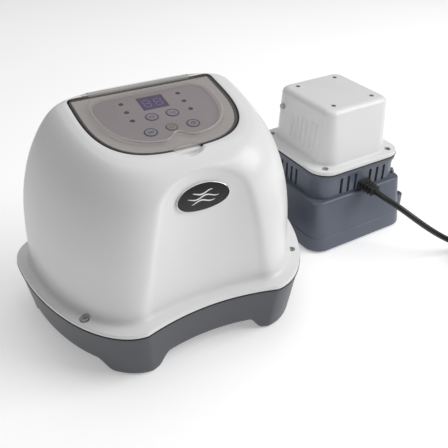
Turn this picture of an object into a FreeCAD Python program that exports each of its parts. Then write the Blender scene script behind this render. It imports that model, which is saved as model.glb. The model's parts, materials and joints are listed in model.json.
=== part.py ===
import FreeCAD, Part
import math
import os
import re
import Sketcher

from FreeCAD import Placement, Rotation, Vector

# Salt chlorine generator: a domed control and electrolysis unit on a four-footed base,
# and a separate vented power unit with its mains cord.  Millimetres, +Z up, origin on the
# floor under the middle of the two boxes.

os.makedirs("parts", exist_ok=True)
doc = FreeCAD.newDocument("salt_chlorine_generator")

# ---------------------------------------------------------------------------------------
# Driving dimensions.
# ---------------------------------------------------------------------------------------
DIMENSIONS = {
    # Where the two boxes stand.
    "dome_x": -103.2, "dome_y": -90.48, "flange_level": 65.0,
    "power_x": 177.5, "power_y": 48.58, "power_turn": 3.0,
    # Domed housing.
    "wall": 3.0, "flange_thick": 4.0, "gasket_thick": 2.0, "top_slope": 8.9,
    "hinge_line_y": 130.0, "hinge_line_z": 191.5,
    "corner_run_x": 58.0,
    "flange_half": 171.5, "flange_ridge_x": 78.5, "flange_ridge_y": -51.7, "flange_mid_y": -39.2,
    "flange_widest_y": 130.0, "flange_back_y": 180.0,
    "front_screw_x": 130.0, "front_screw_y": 0.0, "rear_screw_x": 105.0, "rear_screw_y": 171.0,
    "screw_head": 5.0, "screw_shank": 2.0, "screw_length": 18.0, "screw_recess": 6.0,
    # Base.
    "skirt_level": -43.0, "base_wall": 3.5, "foot_inset": 9.0, "skirt_inset": 6.0,
    "arch_half": 76.0, "side_arch_front": -6.0, "side_arch_back": 116.0, "arch_round": 12.0,
    "pad_radius": 9.0, "pad_thick": 3.5, "pad_proud": 1.5,
    "front_pad_x": 93.0, "front_pad_y": -21.0, "rear_pad_x": 116.0, "rear_pad_y": 134.0,
    # Lid, fascia and what shows through it.
    "lid_half": 84.0, "lid_straight": 20.0, "lid_front": 105.0, "lid_roundness": 3.0,
    "lid_low": -1.2, "lid_thick": 2.5, "lid_gap": 1.6, "lid_crown_inset": 14.0, "lid_crown": 3.6,
    "tongue_half": 60.0, "hinge_y": 3.0, "hinge_z": -1.2, "barrel_radius": 2.7, "pin_radius": 2.0,
    "pin_inner": 54.0, "pin_outer": 66.5, "pin_play": 0.05,
    "panel_top": -1.5, "panel_thick": 2.5, "panel_inset": 3.2, "ledge_inset": 9.0, "ledge_thick": 3.0,
    "button_radius": 7.0, "power_button_radius": 6.2, "button_gap": 0.3, "button_top": -0.7,
    "upper_button_x": 11.8, "upper_button_y": -60.8, "lower_button_x": 23.7, "lower_button_y": -86.9,
    "middle_button_y": -85.5,
    "led_x": 33.3, "led_first_y": -26.4, "led_pitch": 17.0, "led_radius": 2.7,
    "window_wide": 29.8, "window_deep": 25.7, "window_y": -34.0, "window_thick": 1.2,
    "board_top": -11.5, "board_thick": 1.6, "board_wide": 104.0, "board_deep": 74.0, "board_y": -58.0,
    "post_x": 47.0, "post_front_y": -88.0, "post_back_y": -28.0, "post_radius": 3.5,
    "scoop_radius": 17.0, "scoop_y": -126.5, "scoop_z": 8.0,
    "notch_radius": 22.0, "notch_y": -141.0,
    # Badge.
    "badge_half_x": 29.5, "badge_half_z": 15.0, "badge_z": 134.0, "badge_front_y": -30.2,
    "badge_rim_width": 1.6,
    # Electrolysis cell and hose ports.
    "cell_y": 112.0, "cell_z": -11.0, "cell_radius": 27.0, "cell_bore": 24.0, "cell_half": 92.0,
    "port_x": 58.0, "port_z": -21.0, "port_radius": 16.0, "port_bore": 13.0, "port_end": 208.0,
    "port_seat": 14.0, "port_seat_deep": 24.0,
    "port_lip": 18.5, "port_lip_thick": 5.0, "nut_radius": 24.0, "nut_start": 185.0, "nut_end": 212.0,
    "plate_long": 110.0, "plate_high": 34.0, "plate_thick": 1.0, "plate_pitch": 5.0,
    # Power unit.
    "plinth_top": 75.0, "plinth_half_x": 77.5, "plinth_half_y": 77.5, "plinth_round": 12.0,
    "plinth_foot_x": 85.0, "plinth_foot_y": 90.5, "plinth_foot_round": 24.0, "foot_gap": 1.5,
    "vent_half_x": 70.5, "vent_half_y": 72.0, "vent_round": 22.0, "vent_top": 108.0,
    "rim_half_x": 73.0, "rim_half_y": 75.5, "rim_round": 26.0, "rim_top": 113.0,
    "cap_flange_thick": 5.0, "cap_half_x": 58.0, "cap_half_y": 64.0, "cap_round": 25.0,
    "crown_half_x": 52.5, "crown_half_y": 56.5, "crown_level": 186.0, "crown_round": 14.0,
    "crown_edge": 8.0, "cap_screw_x": 32.6, "cap_screw_y": 38.5,
    "rim_screw_x": 55.5, "rim_screw_y": 61.5, "ledge_screw_x": 73.6, "ledge_screw_y": 59.0,
    "power_foot_x": 62.0, "power_foot_y": 68.0, "power_foot_radius": 7.0,
    "reset_y": 42.0, "reset_rise": 55.0, "cap_wall": 2.8,
    "slot_wide": 4.2, "slot_low": 77.5, "slot_high": 101.5, "slot_pitch": 11.0, "front_pitch": 12.5,
    "left_first": 14.5, "right_first": 11.5,
    "relief_x": 6.5, "relief_z": 82.0, "relief_length": 26.0,
    "relief_wide": 20.0, "relief_high": 13.0, "relief_tip": 6.0,
    "ear_x": 86.0, "ear_y": 66.0, "ear_radius": 8.0, "ear_low": 16.0, "ear_high": 38.0, "ear_hole": 2.75,
    # Mains cord.
    "cord_radius": 4.0, "coil_middle": 48.0, "coil_wide": 16.0, "coil_high": 32.0,
    "plug_level": 13.0, "plug_neck": 20.0, "plug_long": 42.0, "plug_wide": 30.0,
    "plug_high": 25.0, "plug_corner": 6.0,
}

# Cross-sections of the domed housing from the flange up: height of the section's plane at
# the hinge line, its slope, half width, place of the front ridge, middle of the front,
# back, and how square the shoulders are.
SECTION_FIELDS = ("rise", "lean", "half", "ridge_x", "ridge_y", "mid_y", "back_y", "square")
DOME_SECTIONS = (
    (3.0, 0.0, 155.8, 79.0, -33.0, -24.0, 165.0, 1.85),
    (50.0, 1.5, 154.6, 70.0, -35.0, -23.6, 161.0, 1.9),
    (95.0, 3.4, 149.0, 61.5, -36.0, -23.8, 156.5, 2.0),
    (135.0, 5.4, 137.5, 52.0, -34.5, -25.0, 151.5, 2.1),
    (163.0, 7.2, 123.5, 41.0, -30.0, -28.0, 147.5, 2.3),
    (181.0, 8.5, 110.0, 33.0, -20.5, -21.5, 143.8, 2.5),
    (188.6, 8.9, 100.0, 30.0, -10.5, -12.0, 141.2, 2.7),
    (191.5, 8.9, 90.5, 28.0, -0.5, -2.0, 138.6, 2.9),
)

sheet = doc.addObject("Spreadsheet::Sheet", "Sizes")


def write_cell(row, alias, value):
    """One named plain number in the sheet."""
    sheet.set("A%d" % row, alias.replace("_", " "))
    sheet.set("B%d" % row, repr(value))
    sheet.setAlias("B%d" % row, alias)


SECTION_CELLS = {}
for number, section in enumerate(DOME_SECTIONS):
    for field, value in zip(SECTION_FIELDS, section):
        SECTION_CELLS["section_%d_%s" % (number, field)] = value

for row, (alias, value) in enumerate(list(DIMENSIONS.items()) + list(SECTION_CELLS.items())):
    write_cell(row + 1, alias, value)
doc.recompute()


def size(alias):
    """A driving dimension read back from the sheet."""
    return float(sheet.get(alias))


def rule(formula):
    """A formula in sheet words, as an expression."""
    return re.sub(r"[a-z][a-z_0-9]*", lambda word: "Sizes." + word.group(0), str(formula))


def bind(item, **formulas):
    """Bind properties of an object to formulas."""
    for name, formula in formulas.items():
        item.setExpression(name, rule(formula))
    return item


def put(item, x, y, z, turn=None):
    """Place an object at formulas, turned by a fixed rotation."""
    if turn is not None:
        item.Placement = Placement(Vector(0, 0, 0), turn)
    for axis, formula in zip("xyz", (x, y, z)):
        item.setExpression("Placement.Base." + axis, rule(formula))
    return item


ALONG_X = Rotation(Vector(0, 1, 0), 90)
ALONG_Y = Rotation(Vector(1, 0, 0), -90)


def block(name, length, width, height, x, y, z):
    """A box centred on x and y that stands on z."""
    item = doc.addObject("Part::Box", name)
    bind(item, Length=length, Width=width, Height=height)
    return put(item, "%s - (%s) / 2" % (x, length), "%s - (%s) / 2" % (y, width), z)


def rod(name, radius, height, x, y, z, turn=None):
    """A cylinder that starts at a point and runs along +Z, or where it is turned to."""
    item = doc.addObject("Part::Cylinder", name)
    bind(item, Radius=radius, Height=height)
    return put(item, x, y, z, turn)


def cone(name, low, high, height, x, y, z, turn=None):
    """A cone between two radii."""
    item = doc.addObject("Part::Cone", name)
    bind(item, Radius1=low, Radius2=high, Height=height)
    return put(item, x, y, z, turn)


def ring(name, large, small, x, y, z, turn=None):
    """A torus, such as an O-ring."""
    item = doc.addObject("Part::Torus", name)
    bind(item, Radius1=large, Radius2=small)
    return put(item, x, y, z, turn)


def join(name, items):
    """Several solids fused to one."""
    item = doc.addObject("Part::MultiFuse", name)
    item.Shapes = items
    return item


def group(name, items):
    """Several separate solids kept side by side."""
    item = doc.addObject("Part::Compound", name)
    item.Links = items
    return item


def cut(name, base, *tools):
    """A solid less one or more tools."""
    item = doc.addObject("Part::Cut", name)
    item.Base = base
    item.Tool = tools[0] if len(tools) == 1 else join(name + "_tools", list(tools))
    return item


def hard_shape(name, shape):
    """A free-form piece whose shape is made from the sheet's sizes by code."""
    item = doc.addObject("Part::Feature", name)
    item.Shape = shape
    return item


NODES = {}


def node(label, item, station):
    """Name a finished piece and stand it at its station."""
    if item.TypeId in ("Part::Box", "Part::Cylinder", "Part::Cone", "Part::Torus"):
        item = group(label + "_piece", [item])
    item.Label = label
    item.Placement = station
    NODES[label] = item
    return item


DOME = Placement(Vector(size("dome_x"), size("dome_y"), size("flange_level")), Rotation())
PANEL = DOME.multiply(Placement(Vector(0, size("hinge_line_y"), size("hinge_line_z")),
                                Rotation(Vector(1, 0, 0), size("top_slope"))))
POWER = Placement(Vector(size("power_x"), size("power_y"), 0),
                  Rotation(Vector(0, 0, 1), size("power_turn")))
FLOOR = Placement()


# ---------------------------------------------------------------------------------------
# Outlines in plan.
# ---------------------------------------------------------------------------------------
STEP = math.radians(15)
QUARTER_STEPS = 6


def curve_point(centre_x, centre_y, run_x, run_y, angle, square):
    """A point of a superellipse quarter."""
    x = centre_x + run_x * math.sin(angle) ** (2 / square)
    y = centre_y + run_y * math.cos(angle) ** (2 / square)
    return x, y


def plan_wire(half, ridge_x, ridge_y, mid_y, back_y, widest_y, square, rise, lean, inset=0.0):
    """Closed outline: hollow front between two ridges, swelling sides, rounded back."""
    slope = math.tan(math.radians(lean))
    half -= inset
    ridge_x -= 0.5 * inset
    ridge_y += inset
    mid_y += inset
    back_y -= inset
    run_x = size("corner_run_x") - 0.3 * inset
    run_y = back_y - widest_y

    def at(x, y):
        return Vector(x, y, rise + (y - size("hinge_line_y")) * slope)

    side = []
    for step in range(QUARTER_STEPS + 1):
        x, y = curve_point(ridge_x, widest_y, half - ridge_x, ridge_y - widest_y, step * STEP, square)
        side.append(at(x, y))
    for step in range(1, QUARTER_STEPS + 1):
        x, y = curve_point(half - run_x, widest_y, run_x, run_y, math.pi / 2 - step * STEP, 2.1)
        side.append(at(x, y))
    other = [Vector(-p.x, p.y, p.z) for p in reversed(side)]
    right = Part.BSplineCurve()
    right.interpolate(side)
    left = Part.BSplineCurve()
    left.interpolate(other)
    front = Part.Arc(other[-1], at(0, mid_y), side[0])
    back = Part.LineSegment(side[-1], other[0])
    return Part.Wire([front.toShape(), right.toShape(), back.toShape(), left.toShape()])


def dome_wire(number, inset=0.0, drop=0.0):
    """One cross-section of the domed housing."""
    value = {field: size("section_%d_%s" % (number, field)) for field in SECTION_FIELDS}
    return plan_wire(value["half"], value["ridge_x"], value["ridge_y"], value["mid_y"],
                     value["back_y"], 122.0, value["square"], value["rise"] - drop,
                     value["lean"], inset)


def flange_wire(level, inset=0.0):
    """The flange's outline at a level, drawn in by an inset."""
    return plan_wire(size("flange_half"), size("flange_ridge_x"), size("flange_ridge_y"),
                     size("flange_mid_y"), size("flange_back_y"), size("flange_widest_y"),
                     1.9, level, 0.0, inset)


def prism(wire, height):
    """A wire filled and raised along Z."""
    return Part.Face(wire).extrude(Vector(0, 0, height))


def lid_wire(level, inset=0.0):
    """The lid's outline in its own plane, hinge line at y = 0 and front towards -y."""
    half = size("lid_half") - inset
    straight = size("lid_straight")
    front = size("lid_front") - inset
    side = [Vector(half, -inset, level), Vector(half, -straight, level)]
    bow = []
    for step in range(QUARTER_STEPS + 1):
        x, y = curve_point(0, -straight, half, -front, math.pi / 2 - step * STEP, size("lid_roundness"))
        bow.append(Vector(x, y, level))
    bow += [Vector(-p.x, p.y, p.z) for p in reversed(bow[:-1])]
    curve = Part.BSplineCurve()
    curve.interpolate(bow)
    left = [Vector(-p.x, p.y, p.z) for p in reversed(side)]
    edges = [Part.LineSegment(side[0], side[1]).toShape(), curve.toShape(),
             Part.LineSegment(left[0], left[1]).toShape(),
             Part.LineSegment(left[1], side[0]).toShape()]
    return Part.Wire(edges)


def lid_plate(low, high, inset):
    """A plate of the lid's outline between two levels."""
    return prism(lid_wire(low, inset), high - low)


def shape_rod(radius, start, direction, length):
    """A cylinder shape from a point along a direction."""
    return Part.makeCylinder(radius, length, start, direction)


UP = Vector(0, 0, 1)
EAST = Vector(1, 0, 0)
NORTH = Vector(0, 1, 0)
TILT = Placement(Vector(0, size("hinge_line_y"), size("hinge_line_z")),
                 Rotation(Vector(1, 0, 0), size("top_slope")))


def tilted(shape):
    """A shape drawn in the lid's plane, moved to the housing's frame."""
    moved = shape.copy()
    moved.Placement = TILT.multiply(moved.Placement)
    return moved


SCREW_SPOTS = [(side * size(end + "_screw_x"), size(end + "_screw_y"))
               for end in ("front", "rear") for side in (-1, 1)]


# ---------------------------------------------------------------------------------------
# Domed housing and base.
# ---------------------------------------------------------------------------------------
SECTION_COUNT = len(DOME_SECTIONS)
dome_outer = Part.makeLoft([dome_wire(n) for n in range(SECTION_COUNT)], True, False)


def make_upper_housing():
    """White shell: dome, flange, lid well with ledge, thumb scoop, hinge bosses."""
    wall = size("wall")
    inner = Part.makeLoft([dome_wire(n, wall, wall) for n in range(SECTION_COUNT)], True, False)
    scoop_at = Vector(0, size("scoop_y"), size("scoop_z"))
    scoop = tilted(Part.makeSphere(size("scoop_radius"), scoop_at))
    scoop_wall = tilted(Part.makeSphere(size("scoop_radius") + wall, scoop_at))
    seat = -size("ledge_thick") - 4.0
    ledge = lid_plate(seat, -4.0, -4.0).cut(lid_plate(seat - 1, 0, size("ledge_inset")))
    boss_high = 7.0
    bosses = []
    for side in (-1, 1):
        middle = side * (size("tongue_half") + 5.2)
        bosses.append(Part.makeBox(8, 9.0, boss_high, Vector(middle - 4, -1.5, -boss_high - 0.3)))
    extra = Part.makeCompound([tilted(ledge)] + [tilted(boss) for boss in bosses])
    inner = inner.cut(scoop_wall)
    for piece in extra.Solids:
        inner = inner.cut(piece)
    flange = prism(flange_wire(0.0), size("flange_thick"))
    mouth = prism(dome_wire(0, wall, 2 * wall), 2 * wall)
    shell = dome_outer.fuse(flange).cut(inner).cut(mouth)
    well = lid_plate(-4.0, 30, -size("lid_gap"))
    window = lid_plate(seat - 30, 30, size("ledge_inset"))
    slot = Part.makeBox(2 * size("tongue_half") + 1.2, 8.2, 40,
                        Vector(-size("tongue_half") - 0.6, -1.2, -4.2))
    bore = shape_rod(size("pin_radius") + 0.03, Vector(-size("pin_outer") - 0.2, size("hinge_y"),
                     size("hinge_z")), EAST, 2 * size("pin_outer") + 0.4)
    for tool in (well, window, slot, bore):
        shell = shell.cut(tilted(tool))
    shell = shell.cut(scoop)
    for x, y in SCREW_SPOTS:
        recess = size("flange_thick") - 1.6
        shell = shell.cut(shape_rod(size("screw_recess"), Vector(x, y, recess), UP, 9))
        shell = shell.cut(shape_rod(size("screw_shank") + 0.3, Vector(x, y, -1), UP, 9))
    return shell


def make_base_housing():
    """Grey tray with a floor, four feet under its corners, screw bosses and port holes."""
    top = -size("gasket_thick")
    floor_level = -size("flange_level") + size("pad_proud")
    skirt = size("skirt_level")
    body = Part.makeLoft([flange_wire(top, 0.4), flange_wire(skirt, size("skirt_inset")),
                          flange_wire(floor_level, size("foot_inset"))], True, False)
    wall = size("base_wall")
    hollow = Part.makeLoft([flange_wire(top + 1, wall + 0.4),
                            flange_wire(skirt + 3, size("skirt_inset") + wall)], True, False)
    tall = skirt - floor_level
    arch = size("arch_half")
    tunnel = Part.makeBox(2 * arch, 400, tall + 10, Vector(-arch, -150, floor_level - 10))
    tunnel = tunnel.makeFillet(size("arch_round"), [e for e in tunnel.Edges
                               if abs(e.CenterOfMass.z - skirt) < 0.01
                               and abs(e.CenterOfMass.x) > arch - 1])
    low, high = size("side_arch_front"), size("side_arch_back")
    cross = Part.makeBox(400, high - low, tall + 10, Vector(-200, low, floor_level - 10))
    cross = cross.makeFillet(size("arch_round"), [e for e in cross.Edges
                             if abs(e.CenterOfMass.z - skirt) < 0.01
                             and abs(e.CenterOfMass.y - (low + high) / 2) > 1])
    body = body.cut(hollow).cut(tunnel).cut(cross)
    for x, y in SCREW_SPOTS:
        boss = shape_rod(5.0, Vector(x, y, skirt + 2), UP, top - skirt - 2)
        body = body.fuse(boss).cut(shape_rod(size("screw_shank") + 0.05, Vector(x, y, top - 16), UP, 20))
    for side in (-1, 1):
        body = body.cut(shape_rod(size("port_radius") + 0.4,
                                  Vector(side * size("port_x"), 150, size("port_z")), NORTH, 60))
    body = body.cut(shape_rod(7.2, Vector(0, 150, -22), NORTH, 60))
    for x, y in PAD_SPOTS:
        body = body.cut(shape_rod(size("pad_radius") + 0.1, Vector(x, y, floor_level - 1), UP,
                                  1 + size("pad_thick") - size("pad_proud")))
    return body


PAD_SPOTS = [(side * size(end + "_pad_x"), size(end + "_pad_y"))
             for end in ("front", "rear") for side in (-1, 1)]


def make_gasket():
    """Black seal between the flange and the base."""
    low = -size("gasket_thick")
    shape = prism(flange_wire(low, 0.1), size("gasket_thick"))
    shape = shape.cut(prism(flange_wire(low - 1, 8.5), 9))
    pads = [shape_rod(5.0, Vector(x, y, low), UP, size("gasket_thick")) for x, y in SCREW_SPOTS]
    for pad in pads:
        shape = shape.fuse(pad)
    for x, y in SCREW_SPOTS:
        shape = shape.cut(shape_rod(size("screw_shank") + 0.3, Vector(x, y, low - 1), UP, 9))
    return shape


node("upper_housing", hard_shape("upper_housing_shell", make_upper_housing()), DOME)
node("base_housing", hard_shape("base_housing_shell", make_base_housing()), DOME)
node("housing_gasket", hard_shape("housing_gasket_ring", make_gasket()), DOME)


def pan_screw(name, head, head_high, shank, length, x, y, z):
    """A pan-head screw, its head's underside at z, with a cross recess."""
    shaft = rod(name + "_shank", shank, "%s + 0.5" % length, x, y, "%s - (%s)" % (z, length))
    top = cone(name + "_head", head, "%s * 0.8" % head, head_high, x, y, z)
    solid = join(name + "_solid", [shaft, top])
    slots = []
    for turn, (wide, deep) in enumerate((("%s * 1.1" % head, 1.1), (1.1, "%s * 1.1" % head))):
        slots.append(block("%s_slot_%d" % (name, turn), wide, deep, 3, x, y,
                           "%s + (%s) * 0.5" % (z, head_high)))
    return cut(name, solid, *slots)


screws = []
for index, (end, sign) in enumerate((("front", "-"), ("front", ""), ("rear", "-"), ("rear", ""))):
    screws.append(pan_screw("housing_screw_%d" % index, "screw_head", 2.4, "screw_shank",
                            "screw_length - 4", "%s%s_screw_x" % (sign, end), "%s_screw_y" % end,
                            "flange_thick - 1.6"))
node("housing_screws", group("housing_screw_set", screws), DOME)

pads = []
for index, (end, sign) in enumerate((("front", "-"), ("front", ""), ("rear", "-"), ("rear", ""))):
    pads.append(rod("foot_pad_%d" % index, "pad_radius", "pad_thick", "%s%s_pad_x" % (sign, end),
                    "%s_pad_y" % end, "-flange_level"))
node("rubber_feet", group("rubber_foot_set", pads), DOME)


# ---------------------------------------------------------------------------------------
# Lid, fascia, buttons and electronics under it.
# ---------------------------------------------------------------------------------------
def make_lid():
    """Clear lid: flat rim, raised middle, thumb notch, hinge barrel with two bores."""
    low = size("lid_low")
    rim_top = low + size("lid_thick")
    crown_top = rim_top + size("lid_crown")
    inset = size("lid_crown_inset")
    shape = lid_plate(low, rim_top, 0)
    crown = Part.makeLoft([lid_wire(rim_top - 0.2, inset), lid_wire(crown_top, inset + 2.5)], True, True)
    pocket = Part.makeLoft([lid_wire(low - 1, inset + 2.2),
                            lid_wire(crown_top - size("lid_thick"), inset + 4.5)], True, True)
    tongue = Part.makeBox(2 * size("tongue_half"), size("hinge_y") + 1, 2.4,
                          Vector(-size("tongue_half"), -1, low))
    barrel = shape_rod(size("barrel_radius"), Vector(-size("tongue_half"), size("hinge_y"),
                       size("hinge_z")), EAST, 2 * size("tongue_half"))
    shape = shape.fuse([crown, tongue, barrel]).cut(pocket)
    notch = shape_rod(size("notch_radius"), Vector(0, size("notch_y"), -20), UP, 60)
    bore = shape_rod(size("pin_radius") + size("pin_play"),
                     Vector(-size("tongue_half") - 1, size("hinge_y"), size("hinge_z")), EAST,
                     2 * size("tongue_half") + 2)
    return shape.cut(notch).cut(bore).removeSplitter()


node("control_lid", hard_shape("control_lid_shape", make_lid()), PANEL)

pin_length = "pin_outer - pin_inner"
node("lid_hinge_pins", group("lid_hinge_pin_set", [
    rod("hinge_pin_left", "pin_radius", pin_length, "-pin_outer", "hinge_y", "hinge_z", ALONG_X),
    rod("hinge_pin_right", "pin_radius", pin_length, "pin_inner", "hinge_y", "hinge_z", ALONG_X),
]), PANEL)

seal = lid_plate(-4.0, -1.4, 0.3).cut(lid_plate(-9, 9, 3.0))
node("lid_seal", hard_shape("lid_seal_ring", seal), PANEL)

BUTTONS = {
    "button_upper_left": ("-upper_button_x", "upper_button_y", "button_radius"),
    "button_upper_right": ("upper_button_x", "upper_button_y", "button_radius"),
    "button_lower_left": ("-lower_button_x", "lower_button_y", "button_radius"),
    "button_lower_right": ("lower_button_x", "lower_button_y", "button_radius"),
    "button_power": ("0", "middle_button_y", "power_button_radius"),
}
LED_SPOTS = [(sign + "led_x", "led_first_y - led_pitch * %d" % place)
             for sign in ("-", "") for place in range(3)]
POST_SPOTS = [(sign + "post_x", "post_%s_y" % end) for sign in ("-", "") for end in ("front", "back")]

fascia = hard_shape("fascia_plate", lid_plate(size("panel_top") - size("panel_thick"),
                                              size("panel_top"), size("panel_inset")))
posts = [rod("panel_post_%d" % n, "post_radius", "panel_top - board_top - 0.5", x, y, "board_top")
         for n, (x, y) in enumerate(POST_SPOTS)]
fascia_solid = join("fascia_with_posts", [fascia] + posts)
holes = [rod("hole_" + name, radius + " + button_gap", 6, x, y, -6)
         for name, (x, y, radius) in BUTTONS.items()]
holes += [rod("led_hole_%d" % n, "led_radius + 0.1", 6, x, y, -6)
          for n, (x, y) in enumerate(LED_SPOTS)]
holes += [rod("post_hole_%d" % n, 1.35, 8, x, y, "board_top - 1")
          for n, (x, y) in enumerate(POST_SPOTS)]
holes.append(block("display_hole", "window_wide + 0.4", "window_deep + 0.4", 6, 0, "window_y", -6))
node("control_panel", cut("fascia_drilled", fascia_solid, *holes), PANEL)

node("display_window", block("display_pane", "window_wide", "window_deep", "window_thick", 0,
                             "window_y", "panel_top - window_thick"), PANEL)
display = block("display_block", "window_wide - 1", "window_deep - 1", 6.2, 0, "window_y", -9.0)
display_legs = [block("display_leg_%d" % n, 14, 0.8, 2.6, 0, "window_y + (%d)" % y, -11.45)
                for n, y in enumerate((-8, 8))]
node("display_module", join("display_with_legs", [display] + display_legs), PANEL)
leds = [rod("led_%d" % n, "led_radius", 7.5, x, y, -8.8) for n, (x, y) in enumerate(LED_SPOTS)]
node("led_indicators", group("led_set", leds), PANEL)

for name, (x, y, radius) in BUTTONS.items():
    cap = rod(name + "_cap", radius, "button_top + 4.2", x, y, -4.2)
    skirt = rod(name + "_skirt", radius + " + 1.2", 1.6, x, y, -5.8)
    stem = rod(name + "_stem", 1.8, 1.5, x, y, -6.6)
    node(name, join(name + "_solid", [cap, skirt, stem]), PANEL)

switches = []
for name, (x, y, radius) in BUTTONS.items():
    housing = block("switch_of_" + name, 6, 6, 3, x, y, "board_top + 0.05")
    plunger = rod("plunger_of_" + name, 1.7, 1.2, x, y, "board_top + 2.6")
    switches.append(join("tact_switch_of_" + name, [housing, plunger]))
node("tact_switches", group("tact_switch_set", switches), PANEL)

board = block("control_board_plate", "board_wide", "board_deep", "board_thick", 0, "board_y",
              "board_top - board_thick")
chip = block("control_chip", 14, 14, 2, -20, "board_y + 10", "board_top - board_thick - 1.9")
connector = block("board_connector", 22, 6, 7, 25, "board_y - 10", "board_top - board_thick - 6.9")
board_holes = [rod("board_hole_%d" % n, 1.6, 6, x, y, "board_top - 3")
               for n, (x, y) in enumerate(POST_SPOTS)]
node("control_board", cut("control_board_drilled", join("control_board_set", [board, chip, connector]),
                          *board_holes), PANEL)
board_screws = []
for n, (x, y) in enumerate(POST_SPOTS):
    head = rod("board_screw_head_%d" % n, 2.9, 1.8, x, y, "board_top - board_thick - 1.8")
    shank = rod("board_screw_shank_%d" % n, 1.3, 7, x, y, "board_top - board_thick - 0.2")
    board_screws.append(join("board_screw_%d" % n, [head, shank]))
node("board_screws", group("board_screw_set", board_screws), PANEL)


# ---------------------------------------------------------------------------------------
# Badge on the hollow front.
# ---------------------------------------------------------------------------------------
def oval(half_x, half_z, front_y, depth):
    """An oval plate that faces the front."""
    curve = Part.Ellipse(Vector(0, 0, 0), half_x, half_z)
    face = Part.Face(Part.Wire([curve.toShape()]))
    plate = face.extrude(Vector(0, 0, depth))
    plate.Placement = Placement(Vector(0, front_y, size("badge_z")), ALONG_Y)
    return plate


badge_room = dome_outer.fuse(dome_outer.translated(Vector(0, -0.1, 0)))
rim_width = size("badge_rim_width")
badge_plate = oval(size("badge_half_x") - rim_width, size("badge_half_z") - rim_width,
                   size("badge_front_y") - 0.4, 14).cut(badge_room)
rim = oval(size("badge_half_x"), size("badge_half_z"), size("badge_front_y"), 14)
rim = rim.cut(oval(size("badge_half_x") - rim_width + 0.05, size("badge_half_z") - rim_width + 0.05,
                   size("badge_front_y") - 2, 20)).cut(badge_room)
node("front_badge", hard_shape("badge_plate", badge_plate), DOME)
node("badge_rim", hard_shape("badge_rim_ring", rim), DOME)


# ---------------------------------------------------------------------------------------
# Electrolysis cell, hose ports and drive electronics inside the dome and base.
# ---------------------------------------------------------------------------------------
tube = rod("cell_tube", "cell_radius", "2 * cell_half", "-cell_half", "cell_y", "cell_z", ALONG_X)
ports = []
port_bores = []
for index, sign in enumerate(("-", "")):
    x = sign + "port_x"
    ports.append(rod("port_pipe_%d" % index, "port_radius", "port_end - cell_y", x, "cell_y", "port_z",
                     ALONG_Y))
    ports.append(rod("port_lip_%d" % index, "port_lip", "port_lip_thick", x, "port_end - port_lip_thick",
                     "port_z", ALONG_Y))
    port_bores.append(rod("port_way_%d" % index, "port_bore", "port_end - cell_y + 1", x, "cell_y",
                          "port_z", ALONG_Y))
    port_bores.append(rod("port_seat_way_%d" % index, "port_seat", "port_seat_deep + 1", x,
                          "port_end - port_seat_deep", "port_z", ALONG_Y))
saddles = [block("cell_saddle_%d" % n, 12, 40, 14, x, "cell_y", "skirt_level + 3.2")
           for n, x in enumerate((-30, 30))]
sensor_neck = rod("sensor_neck", 11, 24, "port_x", "cell_y + 34", "port_z + 6")
cell_body = join("cell_body", [tube] + ports + saddles + [sensor_neck])
cell_room = rod("cell_room", "cell_bore", "2 * cell_half - 4", "-cell_half + 4", "cell_y", "cell_z",
                ALONG_X)
sensor_room = rod("sensor_room", 8.1, 30, "port_x", "cell_y + 34", "port_z + 2")
node("cell_housing", cut("cell_housing_solid", cell_body, cell_room, sensor_room, *port_bores), DOME)

plates = [block("plate_%d" % n, "plate_long", "plate_thick", "plate_high", 10,
                "cell_y + plate_pitch * (%d)" % (n - 2), "cell_z - plate_high / 2") for n in range(5)]
node("cell_plates", group("cell_plate_set", plates), DOME)
cap_disc = rod("cell_cap_disc", "cell_radius + 1.4", 6, "cell_half + 0.1", "cell_y", "cell_z", ALONG_X)
cap_plug = rod("cell_cap_plug", "cell_bore - 0.3", 14, "cell_half - 13.5", "cell_y", "cell_z", ALONG_X)
holder = block("plate_holder", 6, 26, 38, "cell_half - 14.4", "cell_y", "cell_z - 19")
cap_body = join("cell_cap_solid", [cap_disc, cap_plug, holder])
cap_seat = ring("cell_cap_groove", "cell_bore - 1.5", 1.22, "cell_half - 6", "cell_y", "cell_z", ALONG_X)
node("cell_end_cap", cut("cell_cap_grooved", cap_body, cap_seat), DOME)
studs = [rod("terminal_%d" % n, 3, 12, "cell_half + 6.2", "cell_y + (%d)" % y, "cell_z", ALONG_X)
         for n, y in enumerate((-12, 12))]
node("cell_terminals", group("terminal_set", studs), DOME)
cap_groove = ring("cell_oring_ring", "cell_bore - 1.5", 1.2, "cell_half - 6", "cell_y", "cell_z", ALONG_X)
node("cell_o_ring", cap_groove, DOME)
sensor_body = rod("sensor_stem", 8, 26, "port_x", "cell_y + 34", "port_z + 5")
sensor_head = rod("sensor_head", 12, 9, "port_x", "cell_y + 34", "port_z + 30.2")
paddle = block("sensor_paddle", 2, 9, 14, "port_x", "cell_y + 34", "port_z - 8")
node("flow_sensor", join("flow_sensor_solid", [sensor_body, sensor_head, paddle]), DOME)


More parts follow.
